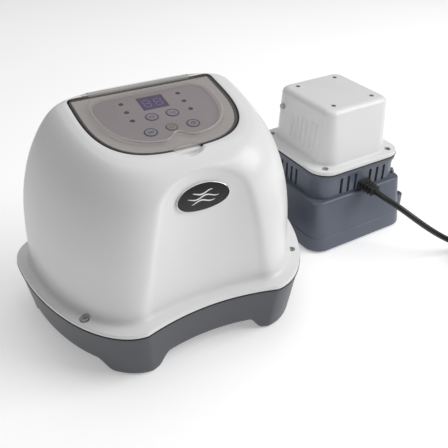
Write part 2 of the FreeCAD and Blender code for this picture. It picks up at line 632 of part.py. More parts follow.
def union_nut(name, sign):
    """A captive hose nut on a port, gripped by flutes."""
    x = sign + "port_x"
    outer = rod(name + "_outer", "nut_radius", "nut_end - nut_start", x, "nut_start", "port_z", ALONG_Y)
    throat = rod(name + "_throat", "port_radius + 0.08", 60, x, "nut_start - 10", "port_z", ALONG_Y)
    thread = rod(name + "_thread", "port_lip + 0.4", 60, x, "port_end - port_lip_thick - 0.4", "port_z",
                 ALONG_Y)
    flutes = []
    flute_count = 14
    for n in range(flute_count):
        angle = 2 * math.pi * n / flute_count
        flutes.append(rod("%s_flute_%d" % (name, n), 2.2, 60,
                          "%s + (nut_radius + 0.8) * (%.5f)" % (x, math.cos(angle)), "nut_start + 4",
                          "port_z + (nut_radius + 0.8) * (%.5f)" % math.sin(angle), ALONG_Y))
    return node(name, cut(name + "_solid", outer, throat, thread, *flutes), DOME)


union_nut("inlet_nut", "-")
union_nut("outlet_nut", "")

driver = block("driver_plate", 130, 1.6, 76, 0, 96, 38)
driver_parts = [block("relay", 20, 16, 24, -34, 87.4, 60), block("driver_chip", 28, 8, 20, 6, 91.4, 76),
                block("terminal_block", 40, 12, 14, 36, 89.4, 44)]
node("driver_board", join("driver_board_set", [driver] + driver_parts), DOME)
fins = [block("fin_%d" % n, 90, 12, 1.6, 0, 107.6, 46 + 7 * n) for n in range(8)]
sink_plate = block("sink_plate", 90, 4, 58, 0, 99.8, 44)
node("heat_sink", join("heat_sink_solid", [sink_plate] + fins), DOME)
bracket_legs = [block("bracket_leg_%d" % n, 12, 3, 86, x, 99.2, 28) for n, x in enumerate((-58, 58))]
bracket_foot = [block("bracket_foot_%d" % n, 12, 40, 3, x, 112, 25.5) for n, x in enumerate((-58, 58))]
bracket_bar = block("bracket_bar", 128, 3, 8, 0, 99.2, 28)
clamp_strips = [block("cell_strap_%d" % n, 12, 10, 11.7, x, 112, 16.05) for n, x in enumerate((-58, 58))]
node("board_bracket", join("board_bracket_solid", bracket_legs + bracket_foot + [bracket_bar]
                           + clamp_strips), DOME)
inlet_body = rod("dc_inlet_body", 7, 18, 0, 164, -22, ALONG_Y)
inlet_collar = rod("dc_inlet_collar", 9.5, 4, 0, 178, -22, ALONG_Y)
inlet_hole = rod("dc_inlet_hole", 4, 30, 0, 170, -22, ALONG_Y)
node("low_voltage_inlet", cut("dc_inlet_solid", join("dc_inlet_set", [inlet_body, inlet_collar]),
                              inlet_hole), DOME)


# ---------------------------------------------------------------------------------------
# Power unit.
# ---------------------------------------------------------------------------------------
def rounded_sketch(body, name, half_x, half_y, corner, level):
    """A rounded rectangle about the body's Z axis, at a level, all sizes bound."""
    plane = [f for f in body.Origin.OriginFeatures if f.Role == "XY_Plane"][0]
    sketch = body.newObject("Sketcher::SketchObject", name)
    sketch.AttachmentSupport = [(plane, "")]
    sketch.MapMode = "FlatFace"
    a, b, r = 50.0, 60.0, 8.0
    corners = [(a, b, 0), (-a, b, 90), (-a, -b, 180), (a, -b, 270)]
    flat = 0.0
    top = Part.LineSegment(Vector(a - r, b, flat), Vector(-a + r, b, flat))
    left = Part.LineSegment(Vector(-a, b - r, flat), Vector(-a, -b + r, flat))
    bottom = Part.LineSegment(Vector(-a + r, -b, flat), Vector(a - r, -b, flat))
    right = Part.LineSegment(Vector(a, -b + r, flat), Vector(a, b - r, flat))
    sketch.addGeometry([top, left, bottom, right], False)
    for x, y, start in corners:
        centre = Vector(x - math.copysign(r, x), y - math.copysign(r, y), flat)
        circle = Part.Circle(centre, UP, r)
        sketch.addGeometry(Part.ArcOfCircle(circle, math.radians(start), math.radians(start + 90)), False)
    make = Sketcher.Constraint
    links = ((3, 2, 4, 1), (0, 1, 4, 2), (0, 2, 5, 1), (1, 1, 5, 2),
             (1, 2, 6, 1), (2, 1, 6, 2), (2, 2, 7, 1), (3, 1, 7, 2))
    for line, end, arc, arc_end in links:
        sketch.addConstraint(make("Tangent", line, end, arc, arc_end))
    sketch.addConstraint(make("Horizontal", 0))
    sketch.addConstraint(make("Horizontal", 2))
    sketch.addConstraint(make("Vertical", 1))
    sketch.addConstraint(make("Vertical", 3))
    for arc in (5, 6, 7):
        sketch.addConstraint(make("Equal", 4, arc))
    sketch.addConstraint(make("Symmetric", 0, 1, 2, 1, -1, 1))
    radius = sketch.addConstraint(make("Radius", 4, r))
    wide = sketch.addConstraint(make("DistanceX", 1, 1, 3, 1, 2 * a))
    deep = sketch.addConstraint(make("DistanceY", 2, 1, 0, 1, 2 * b))
    for index, word, formula in ((radius, "corner", corner), (wide, "wide", "2 * (%s)" % half_x),
                                 (deep, "deep", "2 * (%s)" % half_y)):
        sketch.renameConstraint(index, word)
        sketch.setExpression("Constraints." + word, rule(formula))
    sketch.setExpression("AttachmentOffset.Base.z", rule(level))
    return sketch


def loft_body(name, outer, inner=None):
    """A body lofted through rounded rectangles, hollowed by a second loft."""
    body = doc.addObject("PartDesign::Body", name)
    sketches = [rounded_sketch(body, "%s_outer_%d" % (name, n), *row) for n, row in enumerate(outer)]
    loft = body.newObject("PartDesign::AdditiveLoft", name + "_loft")
    loft.Profile = sketches[0]
    loft.Sections = sketches[1:]
    loft.Ruled = True
    doc.recompute()
    if inner:
        sketches = [rounded_sketch(body, "%s_inner_%d" % (name, n), *row) for n, row in enumerate(inner)]
        hollow = body.newObject("PartDesign::SubtractiveLoft", name + "_hollow")
        hollow.Profile = sketches[0]
        hollow.Sections = sketches[1:]
        hollow.Ruled = True
        doc.recompute()
    return body


plinth = loft_body("plinth", [
    ("plinth_foot_x", "plinth_foot_y", "plinth_foot_round", "foot_gap"),
    ("plinth_half_x", "plinth_half_y", "plinth_round", "plinth_top"),
], [
    ("plinth_foot_x - 4", "plinth_foot_y - 4", "plinth_foot_round - 4", "foot_gap + 4"),
    ("plinth_half_x - 3.6", "plinth_half_y - 3.6", "plinth_round - 3", "plinth_top - 3"),
])
throat = loft_body("plinth_throat", [
    ("vent_half_x - 5", "vent_half_y - 5", "vent_round - 4", "plinth_top - 9"),
    ("vent_half_x - 5", "vent_half_y - 5", "vent_round - 4", "plinth_top + 9"),
])
ears = []
ear_holes = []
for index, (sign_x, sign_y) in enumerate((("", "-"), ("-", ""))):
    x, y = sign_x + "ear_x", sign_y + "ear_y"
    pad = rod("ear_pad_%d" % index, "ear_radius", "ear_high - ear_low", x, y, "ear_low")
    web = block("ear_web_%d" % index, 12, "2 * ear_radius", "ear_high - ear_low",
                "%s - (%s6)" % (x, sign_x), y, "ear_low")
    ears += [pad, web]
    ear_holes.append(rod("ear_hole_%d" % index, "ear_hole", 40, "%s + (%s2)" % (x, sign_x), y,
                         "ear_low - 9"))
core_room = loft_body("plinth_room", [
    ("plinth_foot_x - 4", "plinth_foot_y - 4", "plinth_foot_round - 4", "foot_gap + 4"),
    ("plinth_half_x - 3.6", "plinth_half_y - 3.6", "plinth_round - 3", "plinth_top - 3"),
])
ledge_screws = [("ledge_screw_x", "-ledge_screw_y"), ("-ledge_screw_x", "ledge_screw_y")]
ledge_bosses = [rod("ledge_boss_%d" % n, 4.0, 7, x, y, "plinth_top - 3.4")
                for n, (x, y) in enumerate(ledge_screws)]
ledge_holes = [rod("ledge_hole_%d" % n, 1.7, 14, x, y, "plinth_top - 8")
               for n, (x, y) in enumerate(ledge_screws)]
ear_block = cut("ear_block", join("ear_set", ears), core_room)
plinth_solid = cut("plinth_solid", join("plinth_with_ears", [plinth, ear_block] + ledge_bosses), throat,
                   *(ear_holes + ledge_holes))
node("power_base", plinth_solid, POWER)

vent = loft_body("vent", [
    ("vent_half_x", "vent_half_y", "vent_round", "plinth_top + 0.1"),
    ("vent_half_x", "vent_half_y", "vent_round", "vent_top"),
], [
    ("vent_half_x - 3", "vent_half_y - 3", "vent_round - 3", "plinth_top - 1"),
    ("vent_half_x - 3", "vent_half_y - 3", "vent_round - 3", "rim_top + 1"),
])
rim_ring = loft_body("vent_rim", [
    ("vent_half_x - 1", "vent_half_y - 1", "vent_round - 1", "vent_top - 6"),
    ("rim_half_x", "rim_half_y", "rim_round", "vent_top - 2"),
    ("rim_half_x", "rim_half_y", "rim_round", "rim_top - 1.2"),
], [
    ("vent_half_x - 3", "vent_half_y - 3", "vent_round - 3", "vent_top - 9"),
    ("vent_half_x - 3", "vent_half_y - 3", "vent_round - 3", "rim_top + 1"),
])
SLOTS_EACH_SIDE = 3
slots = []
for n in range(SLOTS_EACH_SIDE):
    for sign, first in (("-", "left_first"), ("+", "right_first")):
        x = "relief_x %s (%s + front_pitch * %d)" % (sign, first, n)
        slots.append(block("front_slot_%s_%d" % (first, n), "slot_wide", 12,
                           "slot_high - slot_low", x, "-vent_half_y + 2", "slot_low"))
for n in range(7):
    slots.append(block("left_slot_%d" % n, 12, "slot_wide", "slot_high - slot_low", "-vent_half_x + 2",
                       "-20 + slot_pitch * %d" % n, "slot_low"))
    slots.append(block("right_slot_%d" % n, 12, "slot_wide", "slot_high - slot_low", "vent_half_x - 2",
                       "-33 + slot_pitch * %d" % n, "slot_low"))
relief_hole = block("relief_hole", "relief_wide - 4", 12, "relief_high - 3", "relief_x",
                    "-vent_half_y + 2", "relief_z - (relief_high - 3) / 2")
gland_hole = rod("gland_hole", 7.2, 20, -20, "vent_half_y - 10", "relief_z + 4", ALONG_Y)
rim_corners = [(sx + "rim_screw_x", sy + "rim_screw_y") for sx in ("-", "") for sy in ("-", "")]
boss_posts = [rod("rim_post_%d" % n, 7, 22, x, y, "rim_top - 23.2") for n, (x, y) in enumerate(rim_corners)]
post_holes = [rod("rim_post_hole_%d" % n, 1.75, 17, x, y, "rim_top - 17")
              for n, (x, y) in enumerate(rim_corners)]
node("vented_housing", cut("vent_solid", join("vent_with_rim", [vent, rim_ring] + boss_posts),
                           relief_hole, gland_hole, *(slots + post_holes)), POWER)

seal_outer = loft_body("power_seal_outer", [
    ("rim_half_x + 0.4", "rim_half_y + 0.4", "rim_round + 0.4", "rim_top - 1.1"),
    ("rim_half_x + 0.4", "rim_half_y + 0.4", "rim_round + 0.4", "rim_top - 0.1"),
], [
    ("vent_half_x - 3", "vent_half_y - 3", "vent_round - 3", "rim_top - 2"),
    ("vent_half_x - 3", "vent_half_y - 3", "vent_round - 3", "rim_top + 1"),
])
seal_holes = [rod("seal_hole_%d" % n, 2.2, 4, x, y, "rim_top - 2") for n, (x, y) in enumerate(rim_corners)]
node("power_gasket", cut("power_seal", seal_outer, *seal_holes), POWER)

crown_top = "crown_level + crown_edge"
cap_shell = loft_body("cap_shell", [
    ("cap_half_x", "cap_half_y", "cap_round", "rim_top"),
    ("crown_half_x", "crown_half_y", "crown_round", "crown_level"),
    ("crown_half_x - 2.4", "crown_half_y - 2.4", "crown_round - 1", "crown_level + crown_edge * 0.7"),
    ("crown_half_x - 8", "crown_half_y - 8", "crown_round - 5", crown_top),
], [
    ("cap_half_x - cap_wall", "cap_half_y - cap_wall", "cap_round - cap_wall", "rim_top - 1"),
    ("crown_half_x - 3", "crown_half_y - 3", "crown_round - 2.8", "crown_level"),
    ("crown_half_x - 9", "crown_half_y - 9", "crown_round - 6", "crown_level + crown_edge - 2.8"),
])
cap_flange = loft_body("cap_flange", [
    ("rim_half_x", "rim_half_y", "rim_round", "rim_top"),
    ("rim_half_x - 0.8", "rim_half_y - 0.8", "rim_round - 0.8", "rim_top + cap_flange_thick"),
], [
    ("cap_half_x - cap_wall", "cap_half_y - cap_wall", "cap_round - cap_wall", "rim_top - 1"),
    ("cap_half_x - cap_wall", "cap_half_y - cap_wall", "cap_round - cap_wall", "rim_top + 9"),
])
flutes = []
for n in range(6):
    flutes.append(put(bind(doc.addObject("Part::Cylinder", "cap_flute_%d" % n), Radius=5.0, Height=50),
                      "-cap_half_x - 3.0", "-34 + 10 * %d" % n, "rim_top + 12",
                      Rotation(Vector(0, 1, 0), 4.3)))
cap_corners = [(sx + "cap_screw_x", sy + "cap_screw_y") for sx in ("-", "") for sy in ("-", "")]
cap_bosses = [rod("cap_boss_%d" % n, 4.2, 18, x, y, "crown_level + crown_edge - 18.8")
              for n, (x, y) in enumerate(cap_corners)]
cap_holes = [rod("cap_hole_%d" % n, 1.9, 30, x, y, "crown_level - 20")
             for n, (x, y) in enumerate(cap_corners)]
cap_holes += [rod("cap_recess_%d" % n, 3.4, 9, x, y, "crown_level + crown_edge - 1.2")
              for n, (x, y) in enumerate(cap_corners)]
flange_holes = [rod("flange_hole_%d" % n, 2.0, 20, x, y, "rim_top - 5")
                for n, (x, y) in enumerate(rim_corners)]
flange_holes += [rod("flange_recess_%d" % n, 4.6, 9, x, y, "rim_top + cap_flange_thick - 1.4")
                 for n, (x, y) in enumerate(rim_corners)]
reset_level = "rim_top + reset_rise"
reset_hole = rod("reset_hole", 4.3, 14, "-cap_half_x - 3", "reset_y", reset_level, ALONG_X)
node("power_cap", cut("cap_solid", join("cap_with_flange", [cap_shell, cap_flange] + cap_bosses),
                      reset_hole, *(cap_holes + flange_holes + flutes)), POWER)

rim_screws = [pan_screw("rim_screw_%d" % n, 3.9, 2.2, 1.7, 18, x, y, "rim_top + cap_flange_thick - 1.4")
              for n, (x, y) in enumerate(rim_corners)]
node("power_flange_screws", group("rim_screw_set", rim_screws), POWER)
cap_screws = [pan_screw("cap_screw_%d" % n, 3.0, 1.6, 1.5, 12, x, y, "crown_level + crown_edge - 1.2")
              for n, (x, y) in enumerate(cap_corners)]
node("power_cap_screws", group("cap_screw_set", cap_screws), POWER)
base_screws = [pan_screw("base_screw_%d" % n, 3.2, 2.0, 1.6, 9, x, y, "plinth_top + 3.6")
               for n, (x, y) in enumerate(ledge_screws)]
node("power_base_screws", group("base_screw_set", base_screws), POWER)

foot_spots = [(sx + "power_foot_x", sy + "power_foot_y") for sx in ("-", "") for sy in ("-", "")]
feet = [rod("power_foot_%d" % n, "power_foot_radius", "foot_gap", x, y, 0)
        for n, (x, y) in enumerate(foot_spots)]
node("power_feet", group("power_foot_set", feet), POWER)

button_stem = rod("reset_stem", 4.0, 9.8, "-cap_half_x + 1.6", "reset_y", reset_level, ALONG_X)
button_head = rod("reset_skirt", 5.4, 1.4, "-cap_half_x + 8.4", "reset_y", reset_level, ALONG_X)
node("reset_button", join("reset_button_solid", [button_stem, button_head]), POWER)
breaker = block("breaker_box", 20, 22, 22, "-cap_half_x + 25.5", "reset_y", "rim_top + 39")
breaker_leg = block("breaker_leg", 14, 4, 3, "-cap_half_x + 25.5", "reset_y", "rim_top + 36.4")
node("thermal_breaker", join("thermal_breaker_solid", [breaker, breaker_leg]), POWER)

core = block("core_block", 84, 44, 70, 0, 0, 12)
windows = [block("core_window_%d" % n, 13, 60, 44, x, 0, 25) for n, x in enumerate((-20.5, 20.5))]
node("transformer_core", cut("core_solid", core, *windows), POWER)
coil_body = block("winding_block", 53.6, 68, 43.4, 0, 0, 25.3)
coil_leg = block("winding_leg", 28.4, 44.4, 60, 0, 0, 15)
side_yokes = [block("winding_side_%d" % n, 30, 44.4, 60, x, 0, 15) for n, x in enumerate((-41.9, 41.9))]
node("transformer_windings", cut("winding_solid", coil_body, coil_leg, *side_yokes), POWER)
clamp_foot = block("clamp_foot", 110, 44, 3, 0, 0, 8.8)
clamp_posts = [block("clamp_post_%d" % n, 14, 44, 4, x, 0, 5.6) for n, x in enumerate((-47, 47))]
node("transformer_bracket", join("transformer_bracket_solid", [clamp_foot] + clamp_posts), POWER)
rectifier_plate = block("rectifier_plate", 78, 88, 1.6, 0, 0, "rim_top + 34")
rectifier_parts = [block("rectifier_bridge", 22, 8, 16, 16, -28, "rim_top + 35.4"),
                   block("rectifier_sink", 30, 10, 20, 14, 28, "rim_top + 35.4")]
node("rectifier_board", join("rectifier_board_set", [rectifier_plate] + rectifier_parts), POWER)
cans = [rod("capacitor_%d" % n, 9, 28, x, y, "rim_top + 35.7")
        for n, (x, y) in enumerate(((12, -6), (-12, -26)))]
node("smoothing_capacitors", group("capacitor_set", cans), POWER)
rail_posts = [block("board_rail_%d" % n, 4, 84, 34, x, 0, "rim_top - 0.2") for n, x in enumerate((-42, 42))]
rail_bars = [block("rail_bar_%d" % n, 92, 8, 4, 0, y, "rim_top - 6") for n, y in enumerate((-38, 38))]
rail_ties = [block("rail_tie_%d" % n, 4, 8, 8, x, y, "rim_top - 6")
             for n, (x, y) in enumerate(((-42, -38), (42, -38), (-42, 38), (42, 38)))]
node("board_rails", join("board_rail_set", rail_posts + rail_bars + rail_ties), POWER)

gland_body = rod("gland_body", 7, 14, -20, "vent_half_y - 8", "relief_z + 4", ALONG_Y)
gland_collar = rod("gland_collar", 9, 5, -20, "vent_half_y + 0.1", "relief_z + 4", ALONG_Y)
gland_way = rod("gland_way", 3.5, 40, -20, "vent_half_y - 12", "relief_z + 4", ALONG_Y)
node("low_voltage_outlet", cut("gland_solid", join("gland_set", [gland_body, gland_collar]),
                               gland_way), POWER)

# ---------------------------------------------------------------------------------------
# Strain relief: a tapered, ribbed rubber boot.
# ---------------------------------------------------------------------------------------
RIB_COUNT = 5
relief_core = cone("relief_core", "relief_tip", "relief_high / 2", "relief_length", "relief_x",
                   "-vent_half_y - relief_length", "relief_z", ALONG_Y)
relief_plate = block("relief_plate", "relief_wide", 3, "relief_high", "relief_x", "-vent_half_y - 1.6",
                     "relief_z - relief_high / 2")
relief_neck = block("relief_neck", "relief_wide - 4.4", 6, "relief_high - 3.4", "relief_x",
                    "-vent_half_y + 2", "relief_z - (relief_high - 3.4) / 2")
relief_tail = block("relief_tail", "relief_wide - 1", 2.4, "relief_high - 1", "relief_x",
                    "-vent_half_y + 4.4", "relief_z - (relief_high - 1) / 2")
ribs = []
for n in range(RIB_COUNT):
    share = (n + 1) / (RIB_COUNT + 1)
    ribs.append(block("relief_rib_%d" % n, "relief_wide - %.3f * 6" % share, 3,
                      "relief_high - %.3f * 1.5" % share, "relief_x",
                      "-vent_half_y - relief_length * %.4f" % share,
                      "relief_z - (relief_high - %.3f * 1.5) / 2" % share))
node("strain_relief", join("strain_relief_solid",
                           [relief_core, relief_plate, relief_neck, relief_tail] + ribs), POWER)

# ---------------------------------------------------------------------------------------
# Mains cord: out of the boot, down to the floor, away to the right, then put away in a
# neat round coil with its plug beside it.
# ---------------------------------------------------------------------------------------
CORD_ROUTE = [
    Vector(189.1, -48.9, 82.0),
    Vector(190.2, -63.2, 81.4),
    Vector(195.0, -77.1, 78.2),
    Vector(203.4, -90.6, 71.6),
    Vector(216.3, -101.6, 60.2),
    Vector(230.9, -111.0, 47.8),
    Vector(247.9, -118.4, 34.7),
    Vector(266.0, -124.0, 22.5),
    Vector(286.0, -128.9, 11.4),
    Vector(304.4, -132.6, 4.0),
    Vector(328.4, -139.6, 4.0),
]
TAIL_ROUTE = [
    Vector(318.3, -241.3, 28.0),
    Vector(302.4, -242.7, 26.2),
    Vector(286.4, -244.1, 21.0),
    Vector(272.5, -245.3, 15.0),
    Vector(260.5, -246.4, 13.0),
]


def cord_tube(points, radius):
    """Straight runs joined by tangent arcs, swept by a circle.  Returns the tube and its length."""
    edges = []
    start = points[0]
    for before, here, after in zip(points, points[1:], points[2:]):
        to_here = here - before
        to_after = after - here
        turn = to_here.getAngle(to_after)
        shorter = min(to_here.Length, to_after.Length)
        reach = 0.45 * shorter
        bend = reach / math.tan(turn / 2)
        into = here - Vector(to_here).normalize() * reach
        out = here + Vector(to_after).normalize() * reach
        inward = Vector(to_after).normalize() - Vector(to_here).normalize()
        inward.normalize()
        centre_gap = bend / math.cos(turn / 2)
        middle = here + inward * (centre_gap - bend)
        print("cord bend radius %.1f mm at a turn of %.1f degrees" % (bend, math.degrees(turn)))
        edges.append(Part.LineSegment(start, into).toShape())
        edges.append(Part.Arc(into, middle, out).toShape())
        start = out
    edges.append(Part.LineSegment(start, points[-1]).toShape())
    path = Part.Wire(edges)
    first = (points[1] - points[0]).normalize()
    profile = Part.Wire([Part.Circle(points[0], first, radius).toShape()])
    return path.makePipeShell([profile], True, False), path.Length


cord_radius = size("cord_radius")
section_area = math.pi * cord_radius ** 2
for label, route in (("mains_cord", CORD_ROUTE), ("mains_cord_tail", TAIL_ROUTE)):
    cord_shape, cord_length = cord_tube(route, cord_radius)
    print("%s length %.1f mm, volume over section times length %.4f"
          % (label, cord_length, cord_shape.Volume / (section_area * cord_length)))
    node(label, hard_shape(label + "_tube", cord_shape), FLOOR)

# The coil lies to the right of the way the cord runs in.
run_end = CORD_ROUTE[-1]
heading = (CORD_ROUTE[-1] - CORD_ROUTE[-2]).normalize()
outer_turn = size("coil_middle") + size("coil_wide") / 2 - cord_radius
coil_centre = run_end + Vector(heading.y, -heading.x, 0) * outer_turn
coil_outer = rod("coil_outer", "coil_middle + coil_wide / 2", "coil_high", 0, 0, 0)
coil_inner = rod("coil_inner", "coil_middle - coil_wide / 2", "coil_high + 2", 0, 0, -1)
node("mains_cord_coil", cut("cord_coil_solid", coil_outer, coil_inner),
     Placement(Vector(coil_centre.x, coil_centre.y, 0), Rotation()))
print("coil centre %.2f %.2f, heading %.5f %.5f" % (coil_centre.x, coil_centre.y, heading.x, heading.y))

# Plug, lying flat at the end of the tail.
tail_heading = TAIL_ROUTE[-1] - TAIL_ROUTE[0]
PLUG = Placement(Vector(TAIL_ROUTE[-1].x, TAIL_ROUTE[-1].y, size("plug_level")),
                 Rotation(Vector(0, 0, 1), math.degrees(math.atan2(tail_heading.y, tail_heading.x))))
plug_neck = cone("plug_neck_cone", "cord_radius + 1", "plug_high / 2 - 3", "plug_neck", 0, 0, 0, ALONG_X)
plug_block = loft_body("plug_block", [
    ("plug_high / 2 - 3", "plug_wide / 2 - 3", "plug_corner - 2", "plug_neck - 4"),
    ("plug_high / 2", "plug_wide / 2", "plug_corner", "plug_neck + 4"),
    ("plug_high / 2", "plug_wide / 2", "plug_corner", "plug_neck + plug_long - 2"),
    ("plug_high / 2 - 1.5", "plug_wide / 2 - 1.5", "plug_corner - 1", "plug_neck + plug_long"),
])
plug_block.Placement = Placement(Vector(0, 0, 0), ALONG_X)
node("mains_plug", join("mains_plug_solid", [plug_neck, plug_block]), PLUG)
blades = [block("plug_blade_%d" % n, 20, 1.5, 6.3, "plug_neck + plug_long + 9.7", y, 1.0)
          for n, y in enumerate((-6.35, 6.35))]
earth_pin = rod("plug_earth_pin", 2.4, 22, "plug_neck + plug_long - 0.3", 0, -6.0, ALONG_X)
node("plug_pins", group("plug_pin_set", blades + [earth_pin]), PLUG)

# ---------------------------------------------------------------------------------------
# Every object computed and sound, then each piece to its own file.
# ---------------------------------------------------------------------------------------
doc.recompute()
for item in doc.Objects:
    if "Invalid" in item.State or "Error" in item.State:
        raise RuntimeError("%s failed: %s" % (item.Label, item.State))
for label, item in NODES.items():
    shape = item.Shape
    if shape.isNull() or not shape.isValid():
        raise RuntimeError("%s has no valid shape" % label)
    shape.exportStep("parts/%s.step" % label)
    box = shape.optimalBoundingBox(False, False)
    print("%-24s solids %2d  x %8.2f %8.2f  y %8.2f %8.2f  z %8.2f %8.2f"
          % (label, len(shape.Solids), box.XMin, box.XMax, box.YMin, box.YMax, box.ZMin, box.ZMax))
CORD_PIECES = ("mains_cord", "mains_cord_tail", "mains_cord_coil", "mains_plug", "plug_pins")
whole = Part.makeCompound([item.Shape for label, item in NODES.items() if label not in CORD_PIECES])
box = whole.optimalBoundingBox(False, False)
print("%d pieces, box without the cord x %.2f %.2f  y %.2f %.2f  z %.2f %.2f"
      % (len(NODES), box.XMin, box.XMax, box.YMin, box.YMax, box.ZMin, box.ZMax))
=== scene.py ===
import json
import math

import bmesh
import bpy
import numpy as np
from mathutils import Matrix, Vector


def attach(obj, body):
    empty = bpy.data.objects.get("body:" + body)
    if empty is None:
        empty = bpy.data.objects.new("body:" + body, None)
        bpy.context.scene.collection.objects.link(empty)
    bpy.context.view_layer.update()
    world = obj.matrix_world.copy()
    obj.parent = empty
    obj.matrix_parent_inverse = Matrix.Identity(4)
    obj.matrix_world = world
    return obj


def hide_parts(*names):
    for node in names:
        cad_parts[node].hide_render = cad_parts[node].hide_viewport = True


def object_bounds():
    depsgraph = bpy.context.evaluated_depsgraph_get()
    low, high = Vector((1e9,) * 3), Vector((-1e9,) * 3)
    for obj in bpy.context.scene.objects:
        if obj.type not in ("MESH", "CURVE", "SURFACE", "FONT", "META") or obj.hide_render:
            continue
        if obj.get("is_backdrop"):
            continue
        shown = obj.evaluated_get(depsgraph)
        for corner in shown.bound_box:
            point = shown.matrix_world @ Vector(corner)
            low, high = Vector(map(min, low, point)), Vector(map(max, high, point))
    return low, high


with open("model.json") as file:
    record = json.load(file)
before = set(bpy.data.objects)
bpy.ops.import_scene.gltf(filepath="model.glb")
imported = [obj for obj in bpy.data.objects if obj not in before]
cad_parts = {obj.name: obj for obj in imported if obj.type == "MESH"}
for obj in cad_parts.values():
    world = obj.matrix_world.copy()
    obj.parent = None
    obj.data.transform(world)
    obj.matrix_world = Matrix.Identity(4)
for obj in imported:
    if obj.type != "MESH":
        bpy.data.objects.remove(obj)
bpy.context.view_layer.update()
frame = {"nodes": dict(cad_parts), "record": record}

# Salt chlorine generator: a white domed control unit on a grey footed base, and a vented
# power unit with its mains cord.  Shapes are drawn in millimetres at the same stations as
# the CAD pieces, then brought to metres.
MM = 0.001
DOME = Matrix.Translation(Vector((-103.2, -90.48, 65.0)) * MM)
TOP_SLOPE = 8.9
HINGE_LINE_Y = 130.0
HINGE_LINE_Z = 191.5
PANEL = (DOME @ Matrix.Translation(Vector((0, HINGE_LINE_Y, HINGE_LINE_Z)) * MM)
         @ Matrix.Rotation(math.radians(TOP_SLOPE), 4, "X"))
POWER = Matrix.Translation(Vector((177.5, 48.58, 0)) * MM) @ Matrix.Rotation(math.radians(3), 4, "Z")


# ---------------------------------------------------------------------------------------
# Materials.
# ---------------------------------------------------------------------------------------
GRAIN_REACH = 0.0002


def moulded(name, colour, tone=0.05, rough=0.42, rough_span=0.10, mottle=18.0, grain=1400.0,
            bump=0.12, metallic=0.0, coat=0.0, alpha=1.0):
    """A surface with slow mottling in colour and gloss and a fine grain in its relief."""
    made = bpy.data.materials.new(name)
    made.use_nodes = True
    nodes = made.node_tree.nodes
    link = made.node_tree.links.new
    shader = nodes["Principled BSDF"]
    place = nodes.new("ShaderNodeTexCoord")
    slow = nodes.new("ShaderNodeTexNoise")
    slow.inputs["Scale"].default_value = mottle
    slow.inputs["Detail"].default_value = 5.0
    link(place.outputs["Object"], slow.inputs["Vector"])
    ramp = nodes.new("ShaderNodeValToRGB")
    ramp.color_ramp.elements[0].position = 0.3
    ramp.color_ramp.elements[1].position = 0.7
    ramp.color_ramp.elements[0].color = [c * (1 - tone) for c in colour] + [1]
    ramp.color_ramp.elements[1].color = [min(1.0, c * (1 + tone)) for c in colour] + [1]
    link(slow.outputs["Fac"], ramp.inputs["Fac"])
    link(ramp.outputs["Color"], shader.inputs["Base Color"])
    gloss = nodes.new("ShaderNodeMapRange")
    gloss.inputs["To Min"].default_value = rough - rough_span / 2
    gloss.inputs["To Max"].default_value = rough + rough_span / 2
    fine = nodes.new("ShaderNodeTexNoise")
    fine.inputs["Scale"].default_value = grain
    fine.inputs["Detail"].default_value = 3.0
    link(place.outputs["Object"], fine.inputs["Vector"])
    link(slow.outputs["Fac"], gloss.inputs["Value"])
    link(gloss.outputs["Result"], shader.inputs["Roughness"])
    relief = nodes.new("ShaderNodeBump")
    relief.inputs["Strength"].default_value = bump
    relief.inputs["Distance"].default_value = GRAIN_REACH
    link(fine.outputs["Fac"], relief.inputs["Height"])
    link(relief.outputs["Normal"], shader.inputs["Normal"])
    shader.inputs["Metallic"].default_value = metallic
    shader.inputs["Coat Weight"].default_value = coat
    shader.inputs["Alpha"].default_value = alpha
    return made


def banded(made, scale, axis, dark):
    """Fine parallel lines over a material, as on laminations or windings."""
    nodes = made.node_tree.nodes
    link = made.node_tree.links.new
    wave = nodes.new("ShaderNodeTexWave")
    wave.bands_direction = axis
    wave.inputs["Scale"].default_value = scale
    link(nodes["Texture Coordinate"].outputs["Object"], wave.inputs["Vector"])
    blend = nodes.new("ShaderNodeMix")
    blend.data_type = "RGBA"
    blend.blend_type = "MULTIPLY"
    blend.inputs[0].default_value = 1.0
    shade = nodes.new("ShaderNodeValToRGB")
    shade.color_ramp.elements[0].color = [dark, dark, dark, 1]
    link(wave.outputs["Fac"], shade.inputs["Fac"])
    link(nodes["Color Ramp"].outputs["Color"], blend.inputs[6])
    link(shade.outputs["Color"], blend.inputs[7])
    link(blend.outputs[2], nodes["Principled BSDF"].inputs["Base Color"])
    return made


